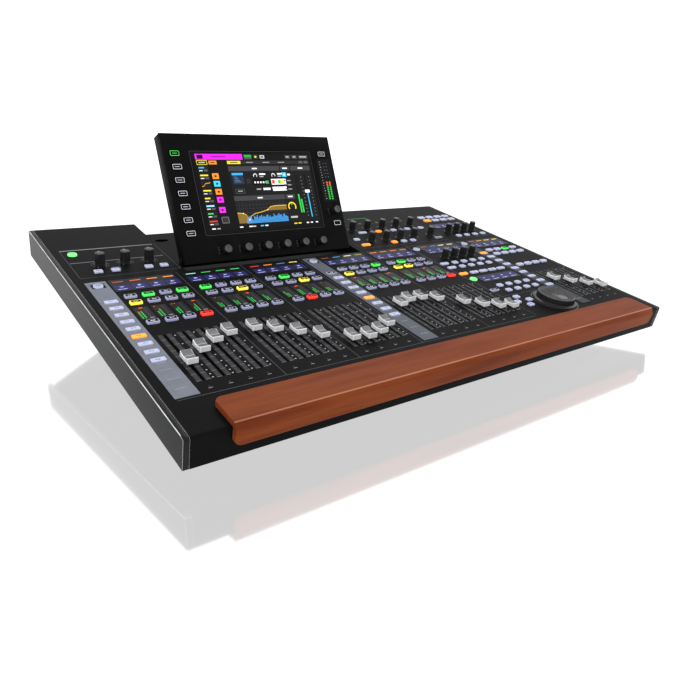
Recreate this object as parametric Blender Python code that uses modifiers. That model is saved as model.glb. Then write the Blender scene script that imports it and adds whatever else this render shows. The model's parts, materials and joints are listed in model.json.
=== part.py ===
"""Digital mixing console: a sloping desk of motor faders, keys and knobs, with a tilting screen.

Sizes are in millimetres, and MM turns them into Blender's metres. The desk stands on Z = 0, its
front edge faces -Y, and X = 0 is the middle of its width. Most pieces lie in the frame of the
sloping top panel: x across, v up the slope from the front bend, and n out of the panel.
"""

import math
from collections import namedtuple

import bmesh
import bpy
from mathutils import Matrix, Vector

MM = 0.001
GAP = 0.3  # between neighbouring pieces that don't move
CUT = 1.0  # how far a cutter or a joined block reaches past the face it meets
NAME = "mixing_console"

# Desk.
WIDTH = 874.0
SLOPE_LENGTH = 589.0
PANEL_ANGLE = math.radians(8.8)
FRONT_EDGE_HEIGHT = 62.5
PANEL_THICKNESS = 2.0
BEND_RADIUS = 3.5
CHEEK_THICKNESS = 7.0
FRONT_DEPTH = 37.0  # front face, measured down from the bend
REAR_DEPTH = 41.0  # cheeks at the rear
LAYOUT_WIDTH = 874.0  # grid in which the places of controls are given
LAYOUT_LENGTH = 589.0

# Hull under the desk.
SHEET = 1.5
BASE_HALF_WIDTH = 247.0
BASE_HEIGHT = 4.0
BASE_STEP_START = 48.0
BASE_STEP_END = 76.0
HULL_STATIONS = 5
REAR_PANEL_INSET = 6.0
REAR_PANEL_THICKNESS = 2.0
FOOT_LENGTH = 460.0
FOOT_WIDTH = 15.0
FOOT_INSET = 10.0

# Armrest.
ARMREST_LEFT = 50.0
ARMREST_RIGHT = 835.0
ARMREST_TOP = 44.0
ARMREST_PROUD = 7.0
ARMREST_NOSE = 8.0
ARMREST_DROP = 21.0
ARMREST_CHAMFER = (5.0, 8.5)  # back from the nose, down from the top
ARMREST_REAR_ROUND = 2.0
ARMREST_LOWER_ROUND = 3.0

# Faders.
FADER_TRAVEL = 100.0
FADER_CENTRE = 141.6
STEM_LENGTH = 8.0
STEM_THICKNESS = 1.2
STEM_DEPTH = 16.0
SLOT_END_GAP = 1.5
SLOT_SIDE_GAP = 0.6
CAP_WIDTH = 13.4
CAP_LENGTH = 21.0
CAP_HEIGHT = 7.0
CAP_DISH = 2.4
CAP_LIFT = 5.0
CAP_EDGE = 0.8
CHANNEL_PITCH = 23.8
BLOCK_STARTS = (61.0, 167.0, 273.0, 408.0, 514.0, 772.5)
CHANNELS_IN_BLOCK = 4
FADER_RESTS = (
    (125.0, 144.5, 160.5, 170.5),
    (170.5, 158.5, 141.5, 123.5),
    (103.5, 99.5, 105.5, 119.5),
    (163.5, 172.5, 171.5, 159.5),
    (135.5, 117.5, 104.5, 98.5),
    (155.5, 135.5, 117.5, 103.5),
)
FRAME_DEPTH = 9.0
FRAME_PLATE = 2.0
MOTOR_WIDTH = 11.0
MOTOR_LENGTH = 16.0
MOTOR_DEPTH = 20.0

# Keys: the tops of silicone mats that reach up through the panel.
KEY_GAP = 0.4
KEY_TRAVEL = 1.0
MAT_THICKNESS = 1.5
MAT_DROP = 1.3  # mat's top face below the panel's underside
MAT_MARGIN = 3.0
ROUND_SIDES = 12
CHANNEL_KEY = (15.5, 8.5, 3.0)
STRIP_KEY = (17.0, 8.0, 2.0)
SMALL_KEY = (11.5, 8.5, 2.5)
WIDE_KEY = (18.0, 7.0, 2.5)
ASSIGN_KEY = (17.0, 10.0, 2.5)
ROUND_KEY = (13.0, 0.0, 2.5)
CHANNEL_KEY_ROWS = (309.0, 289.0, 231.0)
STRIP_KEY_PITCH = 19.7
STRIP_KEYS = 9
STRIP_FIRST_KEY = 142.4
ROUND_KEY_ROW = 352.0
MONITOR_KEY_COLUMNS = (48.5, 72.5, 120.5, 143.5)
CUSTOM_LEFT = 614.5
CUSTOM_COLUMNS = (642.0, 666.0, 690.0, 714.0)
ASSIGN_COLUMNS = (775.5, 800.0, 825.0, 849.0)
CURSOR_KEYS = ((630.0, 123.0), (615.0, 108.0), (645.0, 108.0), (630.0, 93.0))

# Knobs.
SHAFT_RADIUS = 3.0
SHAFT_DEPTH = 7.0
SHAFT_GAP = 0.5
KNOB_LIFT = 0.8
KNOB_SIDES = 12
TALL_KNOB_RADIUS = 6.8
TALL_KNOB_HEIGHT = 17.5
MONITOR_KNOB_RADIUS = 7.5
MONITOR_KNOB_HEIGHT = 18.0
KNOB_TAPER = 0.86
JOG_PLACE = (690.0, 90.0)
JOG_RADIUS = 36.0
JOG_TOP_RADIUS = 30.5
JOG_WALL_RADIUS = 31.5
JOG_FLANGE = 3.0
JOG_EDGE = 1.2
JOG_HEIGHT = 14.0
JOG_SIDES = 32
BOARD_DROP = 8.0
BOARD_THICKNESS = 1.5

# Screen.
SCREEN_LEFT = 174.0
SCREEN_FRONT = 393.0
SCREEN_WIDTH = 313.0
SCREEN_HEIGHT = 203.0
SCREEN_THICKNESS = 22.0
SCREEN_ANGLE = math.radians(57.0)  # from the panel
BEZEL_THICKNESS = 3.0
GLASS_LEFT = 44.0
GLASS_RIGHT_MARGIN = 47.0
GLASS_BOTTOM = 43.0
GLASS_TOP_MARGIN = 29.0
SCREEN_WALL = 2.5
SCREEN_SILL = 13.0  # solid lower edge that holds the hinge bore
HINGE_UP = 8.0
HINGE_BACK = 11.0
HINGE_RADIUS = 3.0
HINGE_GAP = 0.4
HINGE_SIDES = 16
SIDE_SPACE = 0.8
EAR_THICKNESS = 2.0
EAR_REACH = 4.2
BRACKET_THICKNESS = 2.0
SCREEN_ENCODERS = 6
ENCODER_FIRST = 70.0
ENCODER_LAST_MARGIN = 14.0  # from the glass's right edge
ENCODER_UP = 17.0
ENCODER_RADIUS = 6.5
ENCODER_HEIGHT = 13.0
LEVEL_RIGHT_MARGIN = 19.0
LEVEL_UP = 69.0
SCREEN_KEY = (15.5, 9.0)
SCREEN_KEY_PITCH = 20.7
SCREEN_KEYS = 7
SCREEN_KEY_COLUMN = 18.5
SCREEN_KEY_PROUD = 1.5
SCREEN_KEY_FIRST = 4.0  # above the glass's lower edge
UPPER_RIGHT_KEY = 22.0  # from the screen's right edge
LOWER_RIGHT_KEY = 17.0
SCREEN_WEB = 8.0
SCREEN_WEB_DROP = 14.0  # below the glass

# Well in which the screen stands.
WELL_SPACE = 9.8  # beside the screen
WELL_FRONT = 370.0
WELL_DEPTH = 20.0
WELL_CABLE_SLOT = (201.0, 554.0, 12.0, 6.0)  # centre, then half sizes

# Boards and power supply on the hull's floor.
FLOOR_SPACE = 6.0
BOARD_HALF_WIDTH = 235.0
CONNECTORS = (-225.0, 130.0, 30.0, 100.0)  # left, right, bottom, top
CONNECTOR_DEPTH = 22.0
SUPPLY_LEFT = 150.0
SUPPLY_LENGTH = 130.0
SUPPLY_HEIGHT = 54.0
INLET = (165.0, 195.0, 20.0, 44.0)

Key = namedtuple("Key", "u v width length height")

FRONT_EDGE_Y = -0.5 * (
    (SLOPE_LENGTH - ARMREST_NOSE) * math.cos(PANEL_ANGLE) + REAR_DEPTH * math.sin(PANEL_ANGLE)
)
INNER_HALF_WIDTH = WIDTH / 2 - CHEEK_THICKNESS - GAP
STRIPS = (33.0, 380.0, 745.5)
MONITOR_KNOBS = ((59.0, 428.0), (95.0, 428.0), (131.0, 428.0))
CUSTOM_KNOBS = tuple((u, 304.0) for u in CUSTOM_COLUMNS)
ASSIGN_KNOBS = ((771.0, 424.0), (795.0, 424.0), (819.0, 424.0), (843.0, 424.0))
PROCESSING_KNOBS = (
    (557.0, 479.0), (594.0, 479.0), (633.0, 479.0), (670.0, 479.0), (709.0, 479.0),
    (557.0, 417.0), (593.0, 417.0), (629.5, 417.0), (666.0, 417.0), (712.0, 417.0),
)


# Places on the panel.


def across(u):
    """Local x of a place on the layout grid."""
    return (u / LAYOUT_WIDTH - 0.5) * WIDTH


def along(v):
    """Distance up the slope of a place on the layout grid."""
    return v * SLOPE_LENGTH / LAYOUT_LENGTH


def panel_point(x, v, n):
    """World place, in millimetres, of a point in the panel's frame."""
    y = FRONT_EDGE_Y + v * math.cos(PANEL_ANGLE) - n * math.sin(PANEL_ANGLE)
    z = FRONT_EDGE_HEIGHT + v * math.sin(PANEL_ANGLE) + n * math.cos(PANEL_ANGLE)
    return (x, y, z)


def level_at(y, n):
    """World height of the plane parallel to the panel at n, where it passes y."""
    run = y - FRONT_EDGE_Y
    return FRONT_EDGE_HEIGHT + run * math.tan(PANEL_ANGLE) + n / math.cos(PANEL_ANGLE)


def channel_columns():
    """Layout u of every channel, block by block."""
    return [
        [start + CHANNEL_PITCH * index for index in range(CHANNELS_IN_BLOCK)]
        for start in BLOCK_STARTS
    ]


def strip_keys(column):
    """The column of keys on one of the grey strips, and its round key."""
    rows = [STRIP_FIRST_KEY + STRIP_KEY_PITCH * index for index in range(STRIP_KEYS)]
    return [Key(column, row, *STRIP_KEY) for row in rows] + [
        Key(column, ROUND_KEY_ROW, *ROUND_KEY)
    ]


def channel_mat_keys():
    """Keys of the five left-hand blocks, two strips and the monitor section."""
    keys = [
        Key(u, v, *CHANNEL_KEY)
        for block in channel_columns()[:5]
        for u in block
        for v in CHANNEL_KEY_ROWS
    ]
    keys += strip_keys(STRIPS[0]) + strip_keys(STRIPS[1])
    keys += [Key(u, 401.0, *SMALL_KEY) for u in MONITOR_KEY_COLUMNS]
    return keys + [Key(33.0, 471.5, *ROUND_KEY)]


def control_mat_keys():
    """Keys of the right-hand block, its strip, and the custom, processing and assign sections."""
    keys = [Key(u, v, *CHANNEL_KEY) for u in channel_columns()[5] for v in CHANNEL_KEY_ROWS]
    keys += strip_keys(STRIPS[2])
    for v in (277.0, 258.0):
        keys.append(Key(CUSTOM_LEFT, v, *WIDE_KEY))
        keys += [Key(u, v, *SMALL_KEY) for u in CUSTOM_COLUMNS]
    keys += [Key(u, 229.0, *WIDE_KEY) for u in (CUSTOM_LEFT, *CUSTOM_COLUMNS)]
    keys += [Key(u, v, *SMALL_KEY) for u in CUSTOM_COLUMNS for v in (169.0, 149.0)]
    keys += [Key(CUSTOM_LEFT, 157.0, *CHANNEL_KEY)]
    keys += [Key(CUSTOM_LEFT, v, *ROUND_KEY) for v in (ROUND_KEY_ROW, 205.0)]
    keys += [Key(u, v, *SMALL_KEY) for u, v in CURSOR_KEYS]
    keys += [Key(u, v, *ASSIGN_KEY) for u in ASSIGN_COLUMNS for v in (513.0, 493.0)]
    keys += [Key(u, 396.0, *SMALL_KEY) for u in ASSIGN_COLUMNS]
    keys += [Key(528.0, 397.0, *WIDE_KEY), Key(528.0, 426.0, *SMALL_KEY)]
    keys += [Key(u, 397.0, *SMALL_KEY) for u in (598.0, 622.0, 646.0)]
    keys += [Key(716.0, 397.0, *WIDE_KEY)]
    keys += [Key(566.0, 457.0, *WIDE_KEY)]
    return keys + [Key(u, 457.0, *SMALL_KEY) for u in (607.0, 646.0, 684.0, 722.0)]


CHANNEL_MAT_WEBS = (
    (24.0, 222.0, 603.0, 318.0),
    (24.0, 134.0, 42.0, 482.0),
    (371.0, 134.0, 389.0, 362.0),
    (30.0, 395.0, 152.0, 407.0),
)
CONTROL_MAT_WEBS = (
    (736.0, 134.0, 755.0, 520.0),
    (606.0, 222.0, 755.0, 283.0),
    (745.0, 222.0, 856.0, 318.0),
    (605.5, 90.0, 622.0, 362.0),
    (607.0, 142.0, 724.0, 176.0),
    (607.0, 86.0, 653.0, 130.0),
    (745.0, 486.0, 860.0, 520.0),
    (518.0, 390.0, 857.0, 403.0),
    (521.0, 390.0, 535.0, 432.0),
    (555.0, 451.0, 750.0, 463.0),
)


# Making and placing meshes.


def new_mesh(bm, name):
    """Turns a bmesh into a mesh that is shaded smooth between its sharp edges."""
    bmesh.ops.recalc_face_normals(bm, faces=bm.faces)
    mesh = bpy.data.meshes.new(name)
    bm.to_mesh(mesh)
    bm.free()
    mesh.shade_smooth()
    mesh.set_sharp_from_angle(angle=math.radians(35))
    return mesh


def add_object(name, mesh, material=None, parent=None, place=(0, 0, 0)):
    """Links a mesh as a named part of the console, placed in its parent's frame."""
    part = bpy.data.objects.new(name, mesh)
    bpy.data.collections[NAME].objects.link(part)
    part.parent = parent
    part.location = Vector(place) * MM
    if material and not mesh.materials:
        mesh.materials.append(material)
    return part


def add_helper(name, mesh, parent=None, place=(0, 0, 0)):
    """Links a mesh that only cuts or joins others."""
    helper = bpy.data.objects.new(name, mesh)
    bpy.data.collections["cutters"].objects.link(helper)
    helper.parent = parent
    helper.location = Vector(place) * MM
    helper.hide_render = True
    helper.display_type = "WIRE"
    return helper


def combine(part, other, operation):
    """Cuts the other object from the part, or joins it on."""
    modifier = part.modifiers.new(f"{operation.lower()}_{other.name}", "BOOLEAN")
    modifier.operation = operation
    modifier.solver = "EXACT"
    modifier.object = other


def empty(name, parent, place, angle):
    """A frame turned about X."""
    frame = bpy.data.objects.new(name, None)
    bpy.data.collections[NAME].objects.link(frame)
    frame.parent = parent
    frame.location = Vector(place) * MM
    frame.rotation_euler = (angle, 0, 0)
    return frame


def material(name, colour, roughness, metallic=0.0):
    finish = bpy.data.materials.new(name)
    finish.use_nodes = True
    shader = finish.node_tree.nodes["Principled BSDF"]
    shader.inputs["Base Color"].default_value = (*colour, 1.0)
    shader.inputs["Roughness"].default_value = roughness
    shader.inputs["Metallic"].default_value = metallic
    return finish


def add_box(bm, low, high):
    low = Vector(low) * MM
    high = Vector(high) * MM
    size = Matrix.Diagonal((*(high - low), 1.0))
    bmesh.ops.create_cube(bm, size=1.0, matrix=Matrix.Translation((low + high) / 2) @ size)


def add_cylinder(bm, centre, radius, length, sides, turn=Matrix(), stretch=1.0):
    """A capped cylinder about its centre, along Z before the turn."""
    place = Matrix.Translation(Vector(centre) * MM) @ turn @ Matrix.Diagonal((stretch, 1, 1, 1))
    bmesh.ops.create_cone(
        bm,
        cap_ends=True,
        segments=sides,
        radius1=radius * MM,
        radius2=radius * MM,
        depth=length * MM,
        matrix=place,
    )


def add_turned(bm, profile, sides, centre=(0, 0, 0)):
    """Spins a profile of (radius, height) points, which starts and ends on the axis."""
    middle = Vector(centre) * MM
    points = [bm.verts.new(middle + Vector((r, 0, h)) * MM) for r, h in profile]
    edges = [bm.edges.new(pair) for pair in zip(points, points[1:])]
    bmesh.ops.spin(
        bm,
        geom=points + edges,
        cent=middle,
        axis=(0, 0, 1),
        angle=math.tau,
        steps=sides,
        use_merge=True,
    )
    ring = {v for v in bm.verts if (v.co - middle).xy.length < 0.1 * MM}
    bmesh.ops.remove_doubles(bm, verts=list(ring), dist=0.01 * MM)


def add_prism(bm, outline, low, high):
    """Extrudes an outline of (v, n) points across X."""
    corners = [bm.verts.new(Vector((low, v, n)) * MM) for v, n in outline]
    face = bm.faces.new(corners)
    copied = bmesh.ops.extrude_face_region(bm, geom=[face])["geom"]
    moved = [item for item in copied if isinstance(item, bmesh.types.BMVert)]
    bmesh.ops.translate(bm, verts=moved, vec=((high - low) * MM, 0, 0))


def arc(centre, radius, start, end, steps):
    """Points on an arc, with its angles in degrees."""
    angles = [math.radians(start + (end - start) * i / steps) for i in range(steps + 1)]
    return [(centre[0] + radius * math.cos(a), centre[1] + radius * math.sin(a)) for a in angles]


def box_mesh(name, *boxes):
    bm = bmesh.new()
    for low, high in boxes:
        add_box(bm, low, high)
    return new_mesh(bm, name)


# Top panel, its keys and knobs.


def key_shapes(name, keys, grow, low, to_height):
    """One mesh of all keys, or of the holes they pass through."""
    bm = bmesh.new()
    for key in keys:
        x, v = across(key.u), along(key.v)
        high = to_height(key)
        if key.length:
            half = (key.width / 2 + grow, key.length / 2 + grow)
            add_box(bm, (x - half[0], v - half[1], low), (x + half[0], v + half[1], high))
        else:
            middle = (x, v, (low + high) / 2)
            add_cylinder(bm, middle, key.width / 2 + grow, high - low, ROUND_SIDES)
    return new_mesh(bm, name)


def knob_places():
    """Layout places of everything that turns on the panel."""
    return (*MONITOR_KNOBS, *CUSTOM_KNOBS, *ASSIGN_KNOBS, *PROCESSING_KNOBS, JOG_PLACE)


def slot_boxes(low, high):
    """The slots that fader stems run in, between two depths."""
    half_x = STEM_THICKNESS / 2 + SLOT_SIDE_GAP
    half_v = (FADER_TRAVEL + STEM_LENGTH) / 2 + SLOT_END_GAP
    middle = along(FADER_CENTRE)
    return [
        ((across(u) - half_x, middle - half_v, low), (across(u) + half_x, middle + half_v, high))
        for block in channel_columns()
        for u in block
    ]


def well_edges():
    """Left and right edges of the notch for the screen, as local x."""
    left = across(SCREEN_LEFT) - WELL_SPACE
    return left, left + SCREEN_WIDTH + 2 * WELL_SPACE


def make_top_panel(frame, finish):
    """The folded sheet: face, front bend and front lip, cut for every control."""
    half = INNER_HALF_WIDTH
    outline = [(0.0, -FRONT_DEPTH)]
    outline += arc((BEND_RADIUS, -BEND_RADIUS), BEND_RADIUS, 180, 90, 4)
    outline += [(SLOPE_LENGTH, 0.0)]
    bm = bmesh.new()
    left = [bm.verts.new(Vector((-half, v, n)) * MM) for v, n in outline]
    right = [bm.verts.new(Vector((half, v, n)) * MM) for v, n in outline]
    for index in range(len(outline) - 1):
        bm.faces.new((left[index], right[index], right[index + 1], left[index + 1]))
    mesh = bpy.data.meshes.new("top_panel")
    bm.to_mesh(mesh)
    bm.free()
    panel = add_object("top_panel", mesh, finish, frame)
    solid = panel.modifiers.new("sheet", "SOLIDIFY")
    solid.thickness = PANEL_THICKNESS * MM
    solid.offset = -1.0
    solid.use_even_offset = True

    through = -PANEL_THICKNESS - CUT
    notch_left, notch_right = well_edges()
    bm = bmesh.new()
    for low, high in slot_boxes(through, CUT):
        add_box(bm, low, high)
    for u, v in knob_places():
        middle = (across(u), along(v), (through + CUT) / 2)
        add_cylinder(bm, middle, SHAFT_RADIUS + SHAFT_GAP, CUT - through, ROUND_SIDES)
    notch_low = (notch_left, along(WELL_FRONT), -BEND_RADIUS)
    add_box(bm, notch_low, (notch_right, SLOPE_LENGTH + CUT, BEND_RADIUS))
    openings = add_helper("panel_openings", new_mesh(bm, "panel_openings"), frame)
    combine(panel, openings, "DIFFERENCE")
    keys = channel_mat_keys() + control_mat_keys()
    holes = key_shapes("key_holes", keys, KEY_GAP, through, lambda key: CUT)
    combine(panel, add_helper("key_holes", holes, frame), "DIFFERENCE")


def make_mat(name, keys, webs, frame, finish):
    """A silicone mat: flat webs below the panel, joined to the keys that stand on them."""
    top = -PANEL_THICKNESS - MAT_DROP
    low = top - MAT_THICKNESS
    solids = [
        (
            (across(left), along(front), low),
            (across(right), along(back), top),
        )
        for left, front, right, back in webs
    ]
    mat = add_object(name, box_mesh(name, solids[0]), finish, frame)
    for index, solid in enumerate(solids[1:], 2):
        web = add_helper(f"{name}_web_{index}", box_mesh(f"{name}_web_{index}", solid), frame)
        combine(mat, web, "UNION")
    tops = key_shapes(f"{name}_tops", keys, 0.0, (top + low) / 2, lambda key: key.height)
    combine(mat, add_helper(f"{name}_tops", tops, frame), "UNION")


def knob_profile(radius, height):
    """A tapered knob on its shaft, from the middle of the top to the middle of the shaft's end."""
    return [
        (0.0, height),
        (radius * KNOB_TAPER, height),
        (radius, KNOB_LIFT),
        (SHAFT_RADIUS, KNOB_LIFT),
        (SHAFT_RADIUS, -SHAFT_DEPTH),
        (0.0, -SHAFT_DEPTH),
    ]


def knob_mesh(name, radius, height):
    bm = bmesh.new()
    add_turned(bm, knob_profile(radius, height), KNOB_SIDES)
    return new_mesh(bm, name)


def make_knobs(stem, places, mesh, frame, finish):
    for index, (u, v) in enumerate(places, 1):
        add_object(f"{stem}_{index}", mesh, finish, frame, (across(u), along(v), 0))


def make_encoder_board(name, places, frame, finish):
    """A circuit board with its encoders' shafts and knobs, as one piece."""
    margin = 2 * SHAFT_RADIUS
    xs = [across(u) for u, _ in places]
    vs = [along(v) for _, v in places]
    low = (min(xs) - margin, min(vs) - margin, -BOARD_DROP)
    high = (max(xs) + margin, max(vs) + margin, -BOARD_DROP + BOARD_THICKNESS)
    board = add_object(name, box_mesh(name, (low, high)), finish, frame)
    bm = bmesh.new()
    for x, v in zip(xs, vs):
        profile = knob_profile(TALL_KNOB_RADIUS, TALL_KNOB_HEIGHT)
        add_turned(bm, profile, KNOB_SIDES, (x, v, 0))
    knobs = add_helper(f"{name}_knobs", new_mesh(bm, f"{name}_knobs"), frame)
    combine(board, knobs, "UNION")


def make_jog_wheel(frame, finish):
    profile = [
        (0.0, JOG_HEIGHT),
        (JOG_TOP_RADIUS - JOG_EDGE, JOG_HEIGHT),
        (JOG_TOP_RADIUS, JOG_HEIGHT - JOG_EDGE),
        (JOG_WALL_RADIUS, JOG_FLANGE + JOG_EDGE),
        (JOG_RADIUS, JOG_FLANGE),
        (JOG_RADIUS, KNOB_LIFT),
        (SHAFT_RADIUS, KNOB_LIFT),
        (SHAFT_RADIUS, -SHAFT_DEPTH),
        (0.0, -SHAFT_DEPTH),
    ]
    bm = bmesh.new()
    add_turned(bm, profile, JOG_SIDES)
    place = (across(JOG_PLACE[0]), along(JOG_PLACE[1]), 0)
    add_object("jog_wheel", new_mesh(bm, "jog_wheel"), finish, frame, place)


# Faders.


def fader_mesh():
    """A dished cap on its flat stem, as one shell: the stem is drawn out of the cap's underside."""
    half = CAP_LENGTH / 2
    top = CAP_LIFT + CAP_HEIGHT
    outline = [
        (-half, CAP_LIFT),
        (half, CAP_LIFT),
        (half, top - CAP_EDGE),
        (half - CAP_EDGE, top),
        (half / 2, top - CAP_DISH * 0.75),
        (0.0, top - CAP_DISH),
        (-half / 2, top - CAP_DISH * 0.75),
        (CAP_EDGE - half, top),
        (-half, top - CAP_EDGE),
    ]
    bm = bmesh.new()
    add_prism(bm, outline, -CAP_WIDTH / 2, CAP_WIDTH / 2)
    bmesh.ops.recalc_face_normals(bm, faces=bm.faces)
    underside = min(bm.faces, key=lambda face: face.calc_center_median().z)
    for depth in (CAP_LIFT, -STEM_DEPTH):
        underside = bmesh.ops.extrude_discrete_faces(bm, faces=[underside])["faces"][0]
        for corner in underside.verts:
            corner.co.x = math.copysign(STEM_THICKNESS / 2 * MM, corner.co.x)
            corner.co.y = math.copysign(STEM_LENGTH / 2 * MM, corner.co.y)
            corner.co.z = depth * MM
    return new_mesh(bm, "fader")


def make_faders(frame, finish):
    mesh = fader_mesh()
    middle = along(FADER_CENTRE)
    number = 0
    for columns, rests in zip(channel_columns(), FADER_RESTS):
        for u, v in zip(columns, rests):
            number += 1
            place = (across(u), middle + v - FADER_CENTRE, 0)
            add_object(f"fader_{number:02d}", mesh, finish, frame, place)


def make_fader_frame(frame, finish):
    """The plate that guides all stems, with a motor hung behind each slot."""
    slots = slot_boxes(-FRAME_DEPTH - CUT, -FRAME_DEPTH + FRAME_PLATE + CUT)
    left = slots[0][0][0] - MOTOR_WIDTH
    right = slots[-1][1][0] + MOTOR_WIDTH
    front = slots[0][0][1] - MAT_MARGIN
    back = slots[0][1][1] + MOTOR_LENGTH + 2 * MAT_MARGIN
    plate = ((left, front, -FRAME_DEPTH), (right, back, -FRAME_DEPTH + FRAME_PLATE))
    carrier = add_object("fader_frame", box_mesh("fader_frame", plate), finish, frame)
    combine(carrier, add_helper("stem_slots", box_mesh("stem_slots", *slots), frame), "DIFFERENCE")
    motors = []
    for low, high in slots:
        middle = (low[0] + high[0]) / 2
        start = high[1] + MAT_MARGIN
        bottom = -FRAME_DEPTH - MOTOR_DEPTH
        motors.append(
            (
                (middle - MOTOR_WIDTH / 2, start, bottom),
                (middle + MOTOR_WIDTH / 2, start + MOTOR_LENGTH, -FRAME_DEPTH + GAP),
            )
        )
    combine(carrier, add_helper("fader_motors", box_mesh("fader_motors", *motors), frame), "UNION")


# Casing.


def make_cheek(name, side, frame, finish):
    """A side cheek: the desk's profile, rounded at the front bend."""
    radius = BEND_RADIUS
    outline = [(0.0, -FRONT_DEPTH)]
    outline += arc((radius, -radius), radius, 180, 90, 4)
    outline += [(SLOPE_LENGTH, 0.0), (SLOPE_LENGTH, -REAR_DEPTH)]
    outer = side * WIDTH / 2
    inner = side * (WIDTH / 2 - CHEEK_THICKNESS)
    bm = bmesh.new()
    add_prism(bm, outline, min(outer, inner), max(outer, inner))
    add_object(name, new_mesh(bm, name), finish, frame)


def make_armrest(frame, finish):
    """The wooden rest that wraps over the front bend."""
    nose = ARMREST_NOSE
    back = along(ARMREST_TOP)
    rear, lower = ARMREST_REAR_ROUND, ARMREST_LOWER_ROUND
    outline = [(-GAP, GAP), (back, GAP)]
    outline += arc((back - rear, ARMREST_PROUD - rear), rear, 0, 90, 3)
    outline += [(ARMREST_CHAMFER[0] - nose, ARMREST_PROUD)]
    outline += [(-nose, ARMREST_PROUD - ARMREST_CHAMFER[1])]
    outline += arc((lower - nose, lower - ARMREST_DROP), lower, 180, 270, 3)
    outline += [(-GAP, -ARMREST_DROP)]
    bm = bmesh.new()
    add_prism(bm, outline, across(ARMREST_LEFT), across(ARMREST_RIGHT))
    add_object("armrest", new_mesh(bm, "armrest"), finish, frame)


def hull_rows():
    """Rows of points across the hull, from the front lip to the rear panel."""
    wide = INNER_HALF_WIDTH
    narrow = BASE_HALF_WIDTH
    front = PANEL_THICKNESS + GAP
    top = -PANEL_THICKNESS - 4 * GAP
    rows = []
    for v in (front, BASE_STEP_START):
        half = [
            panel_point(narrow, v, -FRONT_DEPTH),
            panel_point(wide, v, -FRONT_DEPTH),
            panel_point(wide, v, top),
        ]
        rows.append(half)
    first = FRONT_EDGE_Y + BASE_STEP_END
    last = rear_panel_y() - GAP
    for index in range(HULL_STATIONS):
        y = first + (last - first) * index / (HULL_STATIONS - 1)
        deep = FRONT_DEPTH + (REAR_DEPTH - FRONT_DEPTH) * (y - FRONT_EDGE_Y) / SLOPE_LENGTH
        half = [
            (narrow, y, BASE_HEIGHT),
            (wide, y, level_at(y, -deep)),
            (wide, y, level_at(y, top)),
        ]
        rows.append(half)
    return [[(-x, y, z) for x, y, z in reversed(half)] + half for half in rows]


def rear_panel_y():
    """Front face of the rear panel."""
    rear_edge = panel_point(0, SLOPE_LENGTH, 0)[1]
    return rear_edge - REAR_PANEL_INSET - REAR_PANEL_THICKNESS


def make_bottom_tub(finish):
    """The open hull of folded sheet: front wall, sides, sloping wings and flat base."""
    rows = hull_rows()
    bm = bmesh.new()
    points = [[bm.verts.new(Vector(point) * MM) for point in row] for row in rows]
    bm.faces.new(points[0])
    for row, following in zip(points, points[1:]):
        for index in range(len(row) - 1):
            bm.faces.new((row[index], following[index], following[index + 1], row[index + 1]))
    mesh = bpy.data.meshes.new("bottom_tub")
    bm.to_mesh(mesh)
    bm.free()
    tub = add_object("bottom_tub", mesh, finish)
    solid = tub.modifiers.new("sheet", "SOLIDIFY")
    solid.thickness = SHEET * MM
    solid.offset = -1.0
    solid.use_even_offset = True


def make_rear_panel(finish):
    """The upright plate that closes the hull, with its openings."""
    front = rear_panel_y()
    back = front + REAR_PANEL_THICKNESS
    wide = INNER_HALF_WIDTH
    side_top = level_at(front, -PANEL_THICKNESS - 2 * GAP)
    well_top = level_at(front, -WELL_DEPTH - SHEET - 2 * GAP)
    side_bottom = level_at(front, -REAR_DEPTH)
    left, right = well_edges()
    outline = [
        (-wide, side_top),
        (-wide, side_bottom),
        (-BASE_HALF_WIDTH, BASE_HEIGHT),
        (BASE_HALF_WIDTH, BASE_HEIGHT),
        (wide, side_bottom),
        (wide, side_top),
        (right, side_top),
        (right, well_top),
        (left, well_top),
        (left, side_top),
    ]
    bm = bmesh.new()
    corners = [bm.verts.new(Vector((x, front, z)) * MM) for x, z in outline]
    face = bm.faces.new(corners)
    copied = bmesh.ops.extrude_face_region(bm, geom=[face])["geom"]
    moved = [item for item in copied if isinstance(item, bmesh.types.BMVert)]
    bmesh.ops.translate(bm, verts=moved, vec=(0, (back - front) * MM, 0))
    plate = add_object("rear_panel", new_mesh(bm, "rear_panel"), finish)
    holes = [
        ((x0 - GAP, front - CUT, z0 - GAP), (x1 + GAP, back + CUT, z1 + GAP))
        for x0, x1, z0, z1 in (CONNECTORS, INLET)
    ]
    cutter = add_helper("rear_openings", box_mesh("rear_openings", *holes))
    combine(plate, cutter, "DIFFERENCE")


def make_feet(finish):
    """Rubber strips along the front and the rear of the base."""
    starts = {
        "front_foot": FRONT_EDGE_Y + BASE_STEP_END + FOOT_INSET,
        "rear_foot": rear_panel_y() - FOOT_INSET - FOOT_WIDTH,
    }
    for name, start in starts.items():
        low = (-FOOT_LENGTH / 2, start, 0)
        high = (FOOT_LENGTH / 2, start + FOOT_WIDTH, BASE_HEIGHT - GAP)
        add_object(name, box_mesh(name, (low, high)), finish)


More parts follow.
